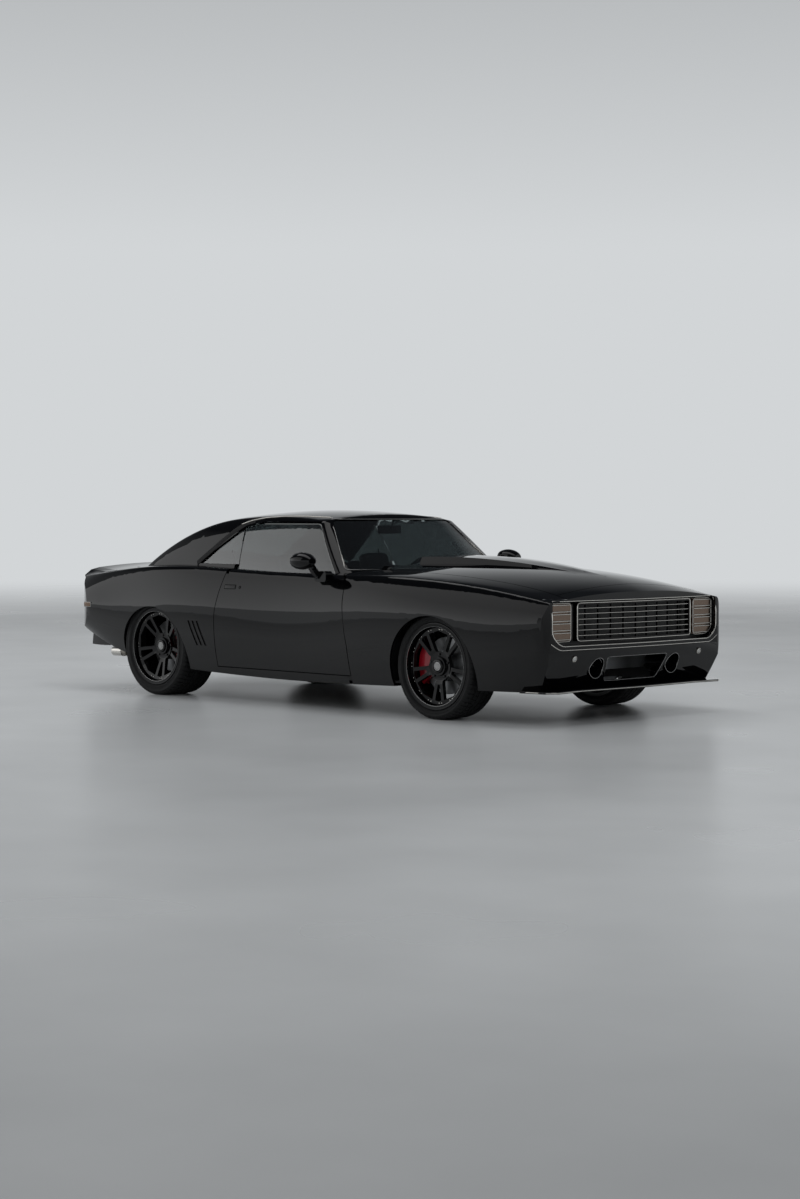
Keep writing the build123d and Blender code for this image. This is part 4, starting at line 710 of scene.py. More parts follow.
noseTrim = {  # radii of the beads in millimetres
    "outline": 3.6, "lower": 3.0, "frame": 4.4, "bar": 2.5, "cover": 3.0, "rib": 3.8, "duct": 2.6,
    "opening": 2.2, "splitter": 3.4,
}
surround = {
    "opening": [(-0.790, 0.752), (0.790, 0.752), (0.790, 0.543), (0.717, 0.482), (-0.717, 0.482),
                (-0.790, 0.543)],
    "lower": [(-0.800, 0.500), (-0.735, 0.459), (0.735, 0.459), (0.800, 0.500)],
}
grille = {"half": 545, "foot": 508, "top": 738, "bars": 6, "barEnd": 530, "vee": 0.0575, "frameBack": 0.030,
          "barBack": 0.0358}
lampCover = {
    "corners": ((0.590, 0.738), (0.776, 0.738), (0.776, 0.548), (0.720, 0.508), (0.590, 0.508)),
    "back": 0.074, "ribBack": 0.076, "ribs": 4, "ribFoot": 512, "pitch": 56, "ribHalf": 20,
    "from": 0.597, "width": 0.172, "steps": 16, "lift": 1.6,
}
duct = {"y": 0.365, "z": 0.338, "radius": 0.063, "steps": 28}
valanceOpening = [(-0.254, 0.252), (0.254, 0.252), (0.290, 0.404), (-0.290, 0.404)]
splitterEdge = {  # half of the plan, as distances behind the nose and to the side
    "half": ((0.190, 0.862), (0.066, 0.843), (0.012, 0.790), (0.008, 0.760), (0.034, 0.560)), "middle": 0.008,
    "z": 0.2095,
}
parkingLamp = {"y": 0.60, "z": 0.405, "radius": 15, "depth": 5}

skinTrim("surround_outline", "grille_surround", surround["opening"], 0.07, fromFront, 1.0,
         noseTrim["outline"], brightTrim, closed=True)
skinTrim("surround_lower_line", "grille_surround", surround["lower"], 0.06, fromFront, 0.5, noseTrim["lower"],
         brightTrim)
half, top, foot = mm(grille["half"]), mm(grille["top"]), mm(grille["foot"])
frameCorners = [(-half, top), (half, top), (half, foot), (-half, foot)]
framePoints = [
    (noseX - grille["frameBack"] - abs(y) * grille["vee"], y, z) for y, z in alongLine(frameCorners, 0.05)
]
trimLine("grille_outline", framePoints, noseTrim["frame"], brightTrim, closed=True)
for i in range(grille["bars"]):  # the polished front of each bar, bent at the middle as the nose is
    z = mm(grille["foot"] + (i + 1) * (grille["top"] - grille["foot"]) / (grille["bars"] + 1))
    end = mm(grille["barEnd"])
    endX, middleX = (noseX - grille["barBack"] - y * grille["vee"] for y in (end, 0.0))
    trimLine(f"grille_bar_face_{i}", [(endX, -end, z), (middleX, 0.0, z), (endX, end, z)], noseTrim["bar"],
             brightTrim, smooth=False)

for label, side in sides:
    coverCorners = [(side * y, z) for y, z in lampCover["corners"]]
    coverPoints = [(noseX - lampCover["back"], y, z) for y, z in alongLine(coverCorners, 0.045)]
    trimLine("lamp_cover_outline_" + label, coverPoints, noseTrim["cover"], brightTrim, closed=True)
    for i in range(lampCover["ribs"] * 2):  # a bright bead along the top and the foot of each rib
        middle = mm(lampCover["ribFoot"] + (i // 2 + 0.5) * lampCover["pitch"])
        z = middle + mm(lampCover["ribHalf"]) * (1 if i % 2 else -1)
        row = [(side * (lampCover["from"] + lampCover["width"] * k / lampCover["steps"]), z)
               for k in range(lampCover["steps"] + 1)]
        bead = onSkin("headlamp_covers", row, fromFront, lampCover["lift"])
        bead = [point for point in bead if point.x > noseX - lampCover["ribBack"]]
        if len(bead) > 3:
            trimLine(f"lamp_cover_bead_{label}_{i}", bead, noseTrim["rib"], brightTrim)
    ring = [(side * duct["y"] + duct["radius"] * math.cos(a), duct["z"] + duct["radius"] * math.sin(a))
            for a in circle(duct["steps"])]
    trimLine("duct_rim_" + label, onSkin("front_valance", ring, fromFront, 0.6), noseTrim["duct"], darkTrim,
             closed=True)
skinTrim("valance_opening_rim", "front_valance", valanceOpening, 0.05, fromFront, 0.4, noseTrim["opening"],
         darkTrim, closed=True)
splitterPlan = [(noseX - back, -y) for back, y in splitterEdge["half"]]
splitterPlan.append((noseX - splitterEdge["middle"], 0.0))
splitterPlan += [(noseX - back, y) for back, y in reversed(splitterEdge["half"])]
trimLine("splitter_edge", [(x, y, splitterEdge["z"]) for x, y in alongLine(splitterPlan, 0.09, False)],
         noseTrim["splitter"], brightTrim)
for label, side in sides:
    spot, normal = seenPoint("front_valance", (side * parkingLamp["y"], parkingLamp["z"]), fromFront)
    if spot is not None:
        lampRound("parking_lamp_" + label, spot, normal, parkingLamp["radius"], parkingLamp["depth"],
                  fluteClearLens, polishedNickel, "lamp_cover")
print("nose trimmed")


# Side trim: paths in x and z

dripRail = {
    "path": [(0.432, 0.930), (0.350, 1.020), (0.266, 1.115), (0.166, 1.226), (0.090, 1.248), (-0.100, 1.256),
             (-0.300, 1.256), (-0.470, 1.247), (-0.600, 1.228), (-0.690, 1.203)],
    "radius": 4.2,
}
# a black band on the sail panel by the quarter window: painted reflection of a dark stripe, in seal rubber
sailReflectionBand = {
    "path": [(-0.560, 1.232), (-0.640, 1.214), (-0.740, 1.158), (-0.850, 1.078), (-0.950, 1.000),
             (-1.045, 0.932)],
    "half": 0.019, "proud": 3.0,
}
sideGlass = {
    "foot": [(0.425, 0.872), (-0.565, 0.872)], "edge": [(0.410, 0.880), (0.112, 1.205), (-0.455, 1.205)],
    "division": [(-0.582, 0.945), (-0.648, 1.172)],
    "seal": 5.0, "bright": 1.8, "edgeRadius": 2.6, "split": 3.0, "brightOut": 0.006, "brightUp": 0.004,
}
for label, side in sides:
    view, door = fromSides[side], "door_" + label
    skinTrim("drip_rail_" + label, "body_shell", dripRail["path"], 0.05, view, 2.0, dripRail["radius"],
             brightTrim)
    # painted reflection: a dark strip laid where the pillar mirrors a dark stripe
    skinBand("quarter_window_reflection_band_" + label, "body_shell", alongLine(sailReflectionBand["path"], 0.025, False),
             sailReflectionBand["half"], sailReflectionBand["proud"], view, seal)
    sill = onSkin("door_glass_" + label, alongLine(sideGlass["foot"], 0.08, False), view, 2.5)
    trimLine("belt_seal_" + label, sill, sideGlass["seal"], seal, door)
    bright = [(p[0], p[1] + side * sideGlass["brightOut"], p[2] + sideGlass["brightUp"]) for p in sill]
    trimLine("belt_bright_" + label, bright, sideGlass["bright"], darkTrim, door)
    skinTrim("door_glass_edge_" + label, "door_glass_" + label, sideGlass["edge"], 0.05, view, 1.5,
             sideGlass["edgeRadius"], darkTrim, door)
    skinTrim("glass_division_" + label, "quarter_windows", sideGlass["division"], 0.05, view, 1.0,
             sideGlass["split"], seal)

doorHandle = {"x": -0.500, "z": 0.780, "size": (104, 25, 8), "edge": 3, "sunk": 1, "gap": 3, "line": 1.6}
doorLock = {"x": -0.405, "z": 0.778, "radius": 7, "depth": 1}
sideMarker = {"x": -2.075, "z": 0.618, "size": (76, 30, 8), "bezel": (84, 38, 7), "edge": 3, "sunk": 1.5}
gills = {"count": 3, "rear": -0.902, "pitch": 0.044, "lip": 0.016, "lean": 0.072, "top": 0.540, "foot": 0.372,
         "radius": 1.6}
for label, side in sides:
    view, door = fromSides[side], "door_" + label
    spot, normal = seenPoint(door, (doorHandle["x"], doorHandle["z"]), view)
    axes = frameOn(normal)
    softBlock("door_handle_" + label, spot - normal * mm(doorHandle["sunk"]), doorHandle["size"],
              doorHandle["edge"], bodyPaint, axes, door)
    ringHalves = [length / 2 + doorHandle["gap"] for length in doorHandle["size"][:2]]
    ring = []
    for cornerX, cornerZ in ((-1, -1), (1, -1), (1, 1), (-1, 1)):  # each corner of the gap is cut off
        cuts = ((0.9, 1.0), (1.0, 0.8)) if cornerX * cornerZ < 0 else ((1.0, 0.8), (0.9, 1.0))
        for cutX, cutZ in cuts:
            place = spot + axes @ Vector((
                mm(cornerX * ringHalves[0] * cutX), mm(cornerZ * ringHalves[1] * cutZ), 0,
            ))
            near, _ = skinPoint(door, place + normal * 0.1, -normal, 0.3)
            ring.append(near if near is not None else place)
    trimLine("door_handle_gap_" + label, ring, doorHandle["line"], seal, door, True, False)
    spot, normal = seenPoint(door, (doorLock["x"], doorLock["z"]), view)
    lampRound("door_lock_" + label, spot, normal, doorLock["radius"], doorLock["depth"], blackNickel,
              blackNickel, "dark_bright_metal", door)
    spot, normal = seenPoint("body_shell", (sideMarker["x"], sideMarker["z"]), view)
    if spot is not None:
        axes = frameOn(normal)
        softBlock("side_marker_" + label, spot, sideMarker["size"], sideMarker["edge"],
                  (amberLens, "lamp_cover"), axes)
        softBlock("side_marker_bezel_" + label, spot - normal * mm(sideMarker["sunk"]), sideMarker["bezel"],
                  sideMarker["edge"], darkTrim, axes)
    for i in range(gills["count"]):  # a fine lip along the front of each slanted gill
        x = gills["rear"] + i * gills["pitch"] + gills["lip"]
        lip = [(x, gills["top"]), (x + gills["lean"], gills["foot"])]
        skinTrim(f"gill_lip_{label}_{i}", "body_shell", lip, 0.03, view, 0.3, gills["radius"], bodyPaint)
print("sides trimmed")


# Glass surrounds, wipers and mirrors

glassTrim = {
    "screen": [(-0.722, 0.907), (0.722, 0.907), (0.551, 1.238), (-0.551, 1.238)],
    "rear": [(-1.075, 0.480), (-1.635, 0.585), (-1.635, -0.585), (-1.075, -0.480)], "radius": 3.6,
}
wipers = {
    "spans": (("left", 0.42, -0.10), ("right", -0.16, -0.60)), "footX": 0.575, "steps": 6, "z": 0.930,
    "rise": 0.004, "inset": 0.05, "blade": 3.6, "arm": 4.2,
}
innerMirror = {
    "place": (0.130, 0, 1.165), "size": (215, 56, 18), "edge": 8, "stalkRadius": 5,
    "stalk": [(0.140, 0, 1.175), (0.165, 0, 1.205), (0.172, 0, 1.230)],
}
doorMirror = {"x": 0.2885, "y": 0.985, "z": 0.968, "size": (106, 70, 6), "edge": 2.9}
skinTrim("windscreen_trim", "body_shell", glassTrim["screen"], 0.06, fromFront, 1.2, glassTrim["radius"],
         darkTrim, closed=True)
skinTrim("rear_window_trim", "body_shell", glassTrim["rear"], 0.06, fromAbove, 1.2, glassTrim["radius"],
         darkTrim, closed=True)
for label, y0, y1 in wipers["spans"]:
    foot, _ = seenPoint("body_shell", (wipers["footX"], y0), fromAbove, 4)
    blade = onSkin("windscreen", [
        (y0 + wipers["inset"] + (y1 - y0) * i / wipers["steps"], wipers["z"] + wipers["rise"] * i)
        for i in range(wipers["steps"] + 1)
    ], fromFront, 7)
    if foot is None or len(blade) < 4:
        continue
    middle = blade[len(blade) // 2]
    trimLine("wiper_blade_" + label, blade, wipers["blade"], seal)
    trimLine("wiper_arm_" + label, [
        foot, foot + Vector((-0.01, 0, 0.03)), (foot + middle) / 2 + Vector((0.02, 0, 0.02)), middle,
    ], wipers["arm"], plastic)
softBlock("inner_mirror", innerMirror["place"], innerMirror["size"], innerMirror["edge"], plastic,
          frameOn((-1, 0, -0.1)), levels=3)
trimLine("inner_mirror_stalk", innerMirror["stalk"], innerMirror["stalkRadius"], plastic)
for label, side in sides:
    softBlock("mirror_glass_" + label, (doorMirror["x"], side * doorMirror["y"], doorMirror["z"]),
              doorMirror["size"], doorMirror["edge"], brightTrim, frameOn((-1, 0, 0)), "door_" + label, 3)
print("glass trimmed")


# Seats: padded shells with sewn channels, in the places of the plain solids

seatStyle = {"crown": 0.16, "channel": 7, "channelWidth": 9, "squareness": 5.0}
frontChannels, rearChannels = (-0.55, -0.28, 0.0, 0.28, 0.55), (-0.5, 0.0, 0.5)  # shares of half the width
frontCushions = {  # middle, size, tilt in degrees and channels
    "seat_cushion": ((-0.055, 0.395, 0.318), (0.47, 0.47, 0.15), -7, frontChannels),
    "seat_back": ((-0.338, 0.395, 0.615), (0.50, 0.45, 0.12), 78, frontChannels),
    "head_rest": ((-0.425, 0.395, 0.915), (0.16, 0.25, 0.075), 76, ()),
}
rearCushions = {
    "rear_cushion": ((-0.755, 0.352, 0.330), (0.38, 0.40, 0.15), -6, rearChannels),
    "rear_back": ((-1.030, 0.283, 0.645), (0.40, 0.555, 0.10), 74, rearChannels),
}
seatPan = {"x": -0.06, "y": 0.395, "z": 0.236, "size": (400, 400, 36), "edge": 8}
rearSeatBase = {"x": -0.66, "y": 0.352, "z": 0.240, "size": (200, 400, 46), "edge": 10}
parcelShelf = {"place": (-1.110, 0.0, 0.848), "size": (96, 1120, 14), "edge": 4}


def cushion(name, side, middle, size, tilt, channels):  # a crowned pad with sewn channels
    work = bmesh.new()
    bmesh.ops.create_cube(work, size=2.0)
    bmesh.ops.subdivide_edges(work, edges=list(work.edges), cuts=11, use_grid_fill=True)
    power = seatStyle["squareness"]
    for vertex in work.verts:
        x, y, z = vertex.co
        reach = (abs(x) ** power + abs(y) ** power + abs(z) ** power) ** (1 / power)
        x, y, z = x / reach, y / reach, z / reach
        if z > 0:
            z += seatStyle["crown"] * (1 - x * x) * (1 - y * y)
            for share in channels:
                gap = abs(y - share) * (size[1] / 2) / mm(seatStyle["channelWidth"])
                z -= mm(seatStyle["channel"]) / (size[2] / 2) * math.exp(-gap ** 2)
        vertex.co = Vector((x * size[0] / 2, y * size[1] / 2, z * size[2] / 2))
    mesh = bpy.data.meshes.new(name)
    work.to_mesh(mesh)
    work.free()
    mesh.transform(Matrix.Rotation(math.radians(tilt), 4, "Y"))
    mesh.transform(Matrix.Translation(Vector((middle[0], side * middle[1], middle[2]))))
    mesh.shade_smooth()
    piece = addPiece(name, mesh, hide, "body")
    smoothing = piece.modifiers.new("upholstery", "SUBSURF")
    smoothing.levels = 1
    smoothing.render_levels = 1
    return piece


for label, side in sides:
    front = [cushion(name + "_" + label, side, *shape) for name, shape in frontCushions.items()]
    softBlock("seat_pan_" + label, (seatPan["x"], side * seatPan["y"], seatPan["z"]), seatPan["size"],
              seatPan["edge"], plastic)
    rear = [cushion(name + "_" + label, side, *shape) for name, shape in rearCushions.items()]
    softBlock("rear_seat_base_" + label, (rearSeatBase["x"], side * rearSeatBase["y"], rearSeatBase["z"]),
              rearSeatBase["size"], rearSeatBase["edge"], carpet)
    if side == 1:
        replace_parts(front[0], "front_seats")
        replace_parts(rear[0], "rear_seat")
softBlock("parcel_shelf", parcelShelf["place"], parcelShelf["size"], parcelShelf["edge"], carpet)
print("seats made")


# Tail: skirt, lamp frames, lock and polished pipe ends

rearSkirt = {  # the plan is y and x, from the middle outwards
    "plan": ((0.0, -2.266), (0.30, -2.262), (0.50, -2.254), (0.62, -2.243), (0.70, -2.222), (0.755, -2.190),
             (0.784, -2.150)),
    "top": 0.4505, "low": 0.302, "lowAtEnd": 0.322, "riseFrom": 0.40, "steps": 72, "thick": 0.010,
}
floorReturn = (  # x, y, top and low of the panel that closes the luggage floor's edge under each quarter
    (-2.152, 0.789, 0.450, 0.322), (-2.110, 0.794, 0.445, 0.321), (-2.060, 0.799, 0.430, 0.320),
    (-2.000, 0.803, 0.412, 0.320), (-1.925, 0.806, 0.395, 0.322),
)
tailLamp = {
    "from": (0.300, 0.606), "to": (0.660, 0.702), "overlap": 0.004, "bead": 3.4, "bar": 4.0, "segments": 3,
}
trunkLock = {"place": (0.0, 0.655), "radius": 13, "depth": 3}
pipeEnd = {"x": -2.342, "y": 0.465, "z": 0.250, "length": 117, "radius": 37, "wall": 3, "sootAndShadePlate": (2.4, 46, 46)}


def pressedStrip(name, stations, side):  # an upright panel with a tucked and rolled lower edge
    thick = rearSkirt["thick"]
    rings = []
    for i, (x, y, top, low) in enumerate(stations):
        before, after = stations[max(i - 1, 0)], stations[min(i + 1, len(stations) - 1)]
        run = Vector((after[0] - before[0], after[1] - before[1], 0)).normalized()
        inward = Vector((-run.y, run.x, 0)) * side
        tuck = 0.1 * (top - low)
        rings.append([Vector((x, y, z)) + inward * depth for depth, z in (
            (0, top), (0, (top + low) / 2), (tuck, low + thick), (tuck + thick * 0.2, low + thick * 0.3),
            (tuck + thick * 0.5, low), (tuck + thick * 0.9, low + thick * 0.4), (thick, top),
        )])
    return pieceFrom(name, skinned(rings, False), bodyPaint, smooth=40)


def skirtStations():
    widest = rearSkirt["plan"][-1][0]
    stations = []
    for i in range(rearSkirt["steps"] + 1):
        y = widest * (2 * i / rearSkirt["steps"] - 1)
        (y0, x0), (y1, x1) = next(
            pair for pair in zip(rearSkirt["plan"], rearSkirt["plan"][1:]) if abs(y) <= pair[1][0] + 1e-9
        )
        rise = max(0.0, (abs(y) - rearSkirt["riseFrom"]) / (widest - rearSkirt["riseFrom"])) ** 2
        low = rearSkirt["low"] + (rearSkirt["lowAtEnd"] - rearSkirt["low"]) * rise
        stations.append((x0 + (x1 - x0) * (abs(y) - y0) / (y1 - y0), y, rearSkirt["top"], low))
    return stations


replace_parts(pressedStrip("rear_skirt", skirtStations(), -1), "rear_valance")
for label, side in sides:
    stations = [(x, side * y, top, low) for x, y, top, low in floorReturn]
    pressedStrip("luggage_floor_return_" + label, stations, side)
for label, side in sides:
    (y0, z0), (y1, z1), overlap = tailLamp["from"], tailLamp["to"], tailLamp["overlap"]
    corners = [(side * y, z) for y, z in (
        (y0, z0 - overlap), (y1, z0 - overlap), (y1, z1 + overlap), (y0, z1 + overlap),
    )]
    frameLine = onSkin("tail_panel", [
        (y + side * (overlap if y * side > (y0 + y1) / 2 else -overlap), z)
        for y, z in alongLine(corners, 0.04)
    ], fromBehind, 1.0)
    if len(frameLine) > 8:
        trimLine("tail_lamp_frame_" + label, frameLine, tailLamp["bead"], darkTrim, closed=True)
    for i in range(1, tailLamp["segments"]):
        y = side * (y0 + (y1 - y0) * i / tailLamp["segments"])
        bar = onSkin("tail_lamps", [(y, z0 + overlap + (z1 - z0 - 2 * overlap) * k / 6) for k in range(7)],
                     fromBehind, 1.5)
        if len(bar) > 3:
            trimLine(f"tail_lamp_bar_{label}_{i}", bar, tailLamp["bar"], bodyPaint)
    radius, wall, pipeY = pipeEnd["radius"], pipeEnd["wall"], side * pipeEnd["y"]
    pieceFrom("pipe_end_" + label, revolved([
        (radius - 1, pipeEnd["length"]), (radius, pipeEnd["length"]), (radius, 4), (radius - 1, 1),
        (radius - 2, 0), (radius - wall, 2), (radius - wall, 18), (radius - 2, 20),
    ], lambda a, b, x: (pipeEnd["x"] + x, pipeY + a, pipeEnd["z"] + b), 40), polishedPipe)
    # a soot-black plate across the bore: soot colour, and painted shade for the pipe's dark inside
    softBlock("pipe_soot_and_shade_" + label, (pipeEnd["x"] + 0.0205, pipeY, pipeEnd["z"]), pipeEnd["sootAndShadePlate"], 1.1,
              (sootAndShadeSteel, "black_plastic"))
spot, normal = seenPoint("tail_panel", trunkLock["place"], fromBehind)
if spot is not None:
    lampRound("trunk_lock", spot, normal, trunkLock["radius"], trunkLock["depth"], darkNickel, polishedNickel,
              "dark_bright_metal")
print("tail trimmed")


# Cabin: dials, wheel boss, pedals and belts

dials = {
    "x": 0.3295, "z": 0.838, "places": ((0.285, 30), (0.372, 36), (0.459, 30)), "needleOut": 0.0062,
    "hood": (0.300, 0.372, 0.893), "hoodSize": (330, 74, 12),
}
wheelBoss = {"centre": (0.060, 0.370, 0.805), "lean": 22, "back": 0.014, "radius": 30}
pedals = {
    "places": ((0.250, 110), (0.345, 70), (0.440, 70)), "padX": 0.470, "padZ": 0.300, "height": 62,
    "thick": 14, "arm": ((0.476, 0.305), (0.520, 0.420), (0.535, 0.600)),
}
beltStrap = ((-0.700, 0.700, 1.020), (-0.640, 0.660, 0.760), (-0.420, 0.645, 0.420), (-0.300, 0.640, 0.300))
for i, (y, radius) in enumerate(dials["places"]):
    lampRound(f"dial_{i}", (dials["x"], y, dials["z"]), (-1, 0, 0), radius, 3, blackNickel, darkNickel,
              "dark_bright_metal")
    needleX = dials["x"] - dials["needleOut"]
    trimLine(f"dial_needle_{i}", [
        (needleX, y, dials["z"]), (needleX, y + mm(radius) * 0.5, dials["z"] + mm(radius) * 0.45),
    ], 1.0, (redLens, "red_lamp"), smooth=False)
softBlock("dial_hood", dials["hood"], dials["hoodSize"], 5, hide, frameOn((0, 0, 1), (0, 1, 0)), levels=3)
lean = math.radians(wheelBoss["lean"])
columnWay = Vector((math.cos(lean), 0, -math.sin(lean)))
lampRound("wheel_boss", Vector(wheelBoss["centre"]) - columnWay * wheelBoss["back"], -columnWay,
          wheelBoss["radius"], 4, mouldedBlackPlastic, darkNickel, "black_plastic", "steering_wheel")
for i, (y, width) in enumerate(pedals["places"]):
    padSize = (pedals["height"], width, pedals["thick"])
    softBlock(f"pedal_pad_{i}", (pedals["padX"], y, pedals["padZ"]), padSize, 5, seal, frameOn((-1, 0, 0.5)))
    trimLine(f"pedal_arm_{i}", [(x, y, z) for x, z in pedals["arm"]], 6, (blackNickel, "satin_black_steel"))
for label, side in sides:
    trimLine("belt_strap_" + label, [(x, side * y, z) for x, y, z in beltStrap], 5, seal)
print("cabin dressed")


# Engine bay, seen with the hood open

airCleaner = {"x": 1.130, "body": 0.8005, "lid": 0.853}
valveCovers = {
    "place": (1.150, 0.243, 0.772), "size": (130, 560, 56), "edge": 16, "facing": (0, 0.555, 0.832),
    "fins": 13, "finPitch": 34, "finY": 0.260, "finZ": 0.797, "finSize": (84, 6, 10), "finEdge": 2,
}
coolingFan = {
    "x": 1.545, "z": 0.600, "blades": 6, "thick": 1.6, "pitch": 34,
    "sections": ((40, 0.55, 0.30), (120, 0.45, 0.26), (205, 0.35, 0.22)),  # radius, twist and half the angle
}
upperHose = {
    "path": [(1.470, 0.10, 0.800), (1.560, 0.13, 0.830), (1.720, 0.22, 0.800), (1.880, 0.30, 0.760),
             (1.992, 0.30, 0.745)],
    "radius": 21,
}
radiatorFins = {
    "count": 34, "foot": 0.338, "height": 0.394, "x": (2.0275, 2.0305), "y": 0.352, "half": 0.0022,
}

lathe("air_cleaner_body", (airCleaner["x"], 0, airCleaner["body"]), (0, 0, 1), [
    (20, 0), (150, 0), (168, 6), (172, 14), (166, 18), (164, 50), (150, 52), (20, 52),
], (castIronPaint, "painted_iron"))
lathe("air_cleaner_lid", (airCleaner["x"], 0, airCleaner["lid"]), (0, 0, 1), [
    (2, 0), (170, 0), (175, 4), (172, 10), (150, 15), (60, 22), (40, 20), (10, 20), (8, 34), (2, 35),
], brightTrim)
for label, side in sides:
    x, y, z = valveCovers["place"]
    tilt = frameOn((0, side * valveCovers["facing"][1], valveCovers["facing"][2]), (1, 0, 0))
    softBlock("valve_cover_" + label, (x, side * y, z), valveCovers["size"], valveCovers["edge"],
              machinedCover, tilt, levels=3)
    for i in range(valveCovers["fins"]):
        finX = x + mm((i - (valveCovers["fins"] - 1) / 2) * valveCovers["finPitch"])
        softBlock(f"valve_cover_fin_{label}_{i}", (finX, side * valveCovers["finY"], valveCovers["finZ"]),
                  valveCovers["finSize"], valveCovers["finEdge"], machinedCover, tilt, levels=1)
    lathe("header_pipe_" + label, (0.900, side * 0.345, 0.560), (1, 0, 0), [
        (4, 0), (28, 0), (30, 6), (30, 520), (28, 526), (4, 526),
    ], steelPipe, steps=32)
lathe("front_pulley", (1.482, 0, 0.390), (1, 0, 0), [
    (10, 0), (82, 0), (84, 4), (76, 12), (84, 20), (82, 26), (30, 30), (10, 30),
], turnedPulley)
lathe("pump_pulley", (1.482, 0, 0.600), (1, 0, 0), [
    (10, 0), (66, 0), (68, 4), (60, 12), (68, 20), (66, 26), (24, 44), (10, 44),
], turnedPulley)


def fanBlade(facing):  # four corners at each of its three sections
    corners = []
    for radius, twist, half in coolingFan["sections"]:
        for edge in (-1, 1):
            turn = facing + edge * half
            for face in (0.0, coolingFan["thick"]):
                corners.append((
                    coolingFan["x"] + mm(edge * coolingFan["pitch"] * twist + face),
                    mm(radius) * math.cos(turn), coolingFan["z"] + mm(radius) * math.sin(turn),
                ))
    quads = []
    for row in (0, 4):
        quads += [(row, row + 4, row + 6, row + 2), (row + 1, row + 3, row + 7, row + 5),
                  (row, row + 1, row + 5, row + 4), (row + 2, row + 6, row + 7, row + 3)]
    return corners, quads + [(0, 2, 3, 1), (8, 9, 11, 10)]


fanBlades = gathered([fanBlade(facing) for facing in circle(coolingFan["blades"])])
pieceFrom("cooling_fan", fanBlades, (blackNickel, "black_plastic"))
lathe("fan_hub", (1.526, 0, 0.600), (1, 0, 0), [(4, 0), (44, 0), (46, 4), (44, 32), (4, 34)],
      (blackNickel, "black_plastic"))
trimLine("upper_hose", upperHose["path"], upperHose["radius"], seal)
y, half = radiatorFins["y"], radiatorFins["half"]
finLevels = [
    radiatorFins["foot"] + radiatorFins["height"] * i / (radiatorFins["count"] - 1)
    for i in range(radiatorFins["count"])
]
pieceFrom("radiator_fins", gathered([skinned([
    [(x, -y, z - half), (x, -y, z + half), (x, y, z + half), (x, y, z - half)] for x in radiatorFins["x"]
], False) for z in finLevels]), (castAluminium, "cast_aluminium"), smooth=0)
print("engine bay dressed")


# Stage: floor, light and camera

stage = {
    "floor": ("#A6A9AB", "#B0B3B5"), "floorRough": (0.24, 0.34), "floorRadius": 60, "backdrop": "#D2D5D7",
    "ceiling": "#33363A", "fadeLow": 0.56, "fadeHigh": 0.76, "fill": 0.45, "fadeFrom": 9.0, "fadeTo": 30.0,
}
softBoxes = (  # name, place, target, size in metres, watts, and whether it is mirrored
    ("overheadSoftBox", (0.0, 0.0, 6.5), (0, 0, 0), (9.0, 2.6), 130, False),
    ("overheadDiffuser", (0.0, 0.0, 6.4), (0, 0, 0), (9.0, 2.6), 85, True),
    ("keySoftBox", (8.5, -4.0, 4.8), (0.5, 0, 0.6), (5.0, 2.4), 170, False),
    ("sideSoftBox", (-16.5, -9.5, 7.7), (-16.5, 0, 4.0), (34.0, 11.6), 860, True),
    ("backSoftBox", (-7.0, 6.5, 4.8), (0, 0, 0.8), (6.0, 2.0), 120, False),
)
photoCamera = {"place": (11.11, -10.74, 1.261), "yaw": 135.36, "pitch": -2.14, "sensor": 36.0, "lens": 100.8}


def seenBackdrop(tree):  # 1 for camera, mirror and glass rays, which all meet the same background
    path = addNode(tree, "ShaderNodeLightPath")
    total = path.outputs["Is Camera Ray"]
    for kind in ("Is Glossy Ray", "Is Transmission Ray"):
        total = addNode(tree, "ShaderNodeMath", {"operation": "MAXIMUM"}, {0: total, 1: path.outputs[kind]})
    return total


def makeWorld():  # a pale wall that darkens towards the ceiling
    world = bpy.data.worlds.new("paleStudio")
    bpy.context.scene.world = world
    world.use_nodes = True
    tree = world.node_tree
    tree.nodes.clear()
    way = addNode(tree, "ShaderNodeTexCoord").outputs["Generated"]
    height = addNode(tree, "ShaderNodeSeparateXYZ", {}, {"Vector": way}).outputs["Z"]
    share = addNode(tree, "ShaderNodeMapRange", {"From Min": -1.0, "From Max": 1.0}, {"Value": height})
    wall = addNode(tree, "ShaderNodeValToRGB", {
        "ramp": ((stage["fadeLow"], stage["backdrop"]), (stage["fadeHigh"], stage["ceiling"])),
    }, {"Fac": share})
    light = addNode(tree, "ShaderNodeBackground", {"Strength": stage["fill"], "Color": (1, 1, 1, 1)})
    seen = addNode(tree, "ShaderNodeBackground", {"Strength": 1.0}, {"Color": wall})
    mix = addNode(tree, "ShaderNodeMixShader", {}, {0: seenBackdrop(tree), 1: light, 2: seen})
    addNode(tree, "ShaderNodeOutputWorld", {}, {"Surface": mix})


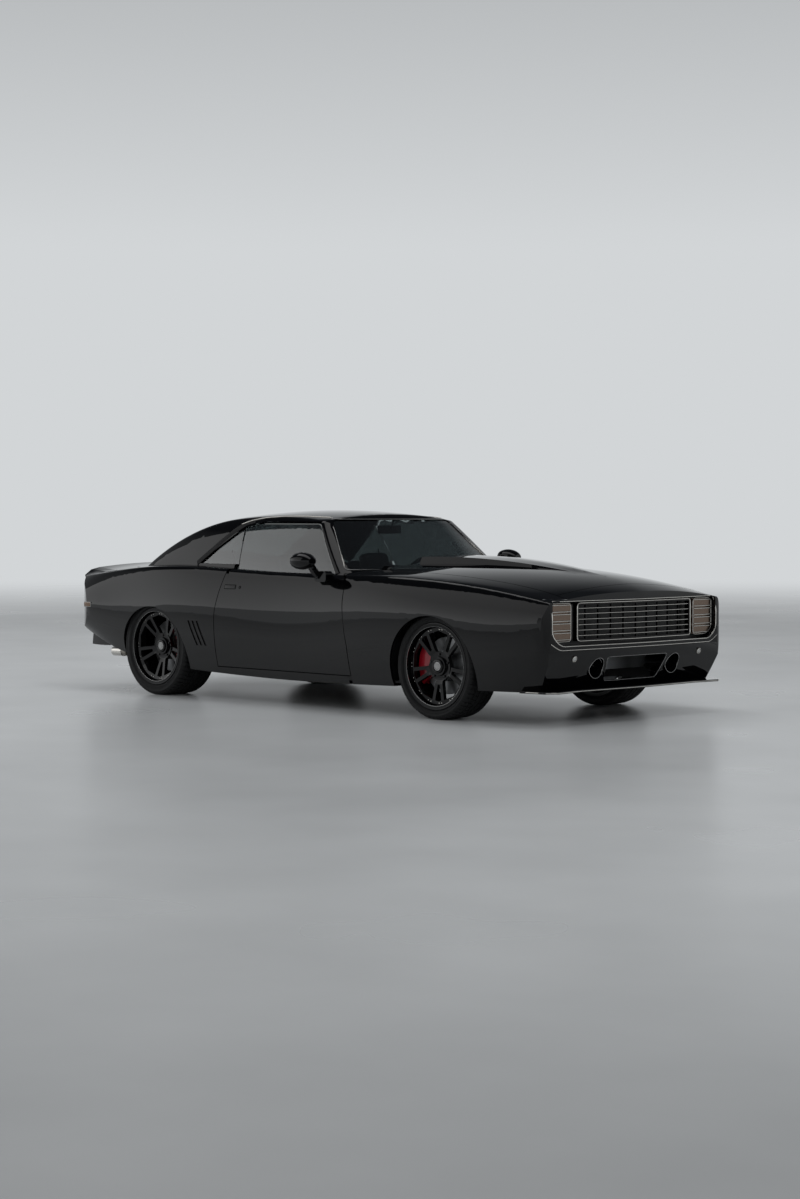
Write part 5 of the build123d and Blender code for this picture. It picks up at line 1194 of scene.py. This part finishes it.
def makeFloorMaterial():  # sealed concrete: pale and softly mirroring, passing into the wall far away
    material, tree, place = startMaterial("paleSealedConcrete")
    tone = addNode(tree, "ShaderNodeTexNoise", {"Scale": perMetre(900), "Detail": 4}, {"Vector": place})
    wear = addNode(tree, "ShaderNodeTexNoise", {"Scale": perMetre(1400), "Detail": 2}, {"Vector": place})
    (low, high), (least, most) = stage["floor"], stage["floorRough"]
    concrete = addNode(tree, "ShaderNodeBsdfPrincipled", {"IOR": 1.45, "Specular IOR Level": 0.45}, {
        "Base Color": addNode(tree, "ShaderNodeValToRGB", {"ramp": ((0.3, low), (0.7, high))}, {"Fac": tone}),
        "Roughness": addNode(tree, "ShaderNodeMapRange", {"To Min": least, "To Max": most}, {"Value": wear}),
    })
    far = addNode(tree, "ShaderNodeVectorMath", {"operation": "LENGTH"}, {"Vector": place}).outputs["Value"]
    fade = addNode(tree, "ShaderNodeMapRange", {
        "interpolation_type": "SMOOTHSTEP", "From Min": stage["fadeFrom"], "From Max": stage["fadeTo"],
    }, {"Value": far})
    fadeSeen = addNode(tree, "ShaderNodeMath", {"operation": "MULTIPLY"}, {0: fade, 1: seenBackdrop(tree)})
    wall = addNode(tree, "ShaderNodeEmission", {"Color": hexColour(stage["backdrop"]), "Strength": 1.0})
    mix = addNode(tree, "ShaderNodeMixShader", {}, {0: fadeSeen, 1: concrete, 2: wall})
    addNode(tree, "ShaderNodeOutputMaterial", {}, {"Surface": mix})
    return material


def aimed(thing, place, way):  # a lamp or a camera in the scene, looking this way
    thing.location = place
    thing.rotation_euler = way.to_track_quat("-Z", "Y").to_euler()
    bpy.context.scene.collection.objects.link(thing)
    return thing


makeWorld()
floorMesh = bpy.data.meshes.new("studioFloor")
work = bmesh.new()
bmesh.ops.create_circle(work, cap_ends=True, segments=96, radius=stage["floorRadius"])
work.to_mesh(floorMesh)
work.free()
floorMesh.materials.append(makeFloorMaterial())
studioFloor = bpy.data.objects.new("studio_floor", floorMesh)
bpy.context.scene.collection.objects.link(studioFloor)

for name, place, target, (length, depth), power, mirrored in softBoxes:
    lamp = bpy.data.lights.new(name, "AREA")
    lamp.shape = "RECTANGLE"
    lamp.size = length
    lamp.size_y = depth
    lamp.energy = power
    holder = aimed(bpy.data.objects.new(name, lamp), place, Vector(target) - Vector(place))
    holder.visible_glossy = mirrored

camera = bpy.data.cameras.new("photoCamera")
camera.sensor_fit = "HORIZONTAL"
camera.sensor_width = photoCamera["sensor"]
camera.lens = photoCamera["lens"]
camera.clip_end = 200
yaw, pitch = math.radians(photoCamera["yaw"]), math.radians(photoCamera["pitch"])
way = Vector((math.cos(yaw) * math.cos(pitch), math.sin(yaw) * math.cos(pitch), math.sin(pitch)))
bpy.context.scene.camera = aimed(bpy.data.objects.new("photoCamera", camera), photoCamera["place"], way)
bpy.context.scene.view_settings.view_transform = "Standard"
print("stage set")
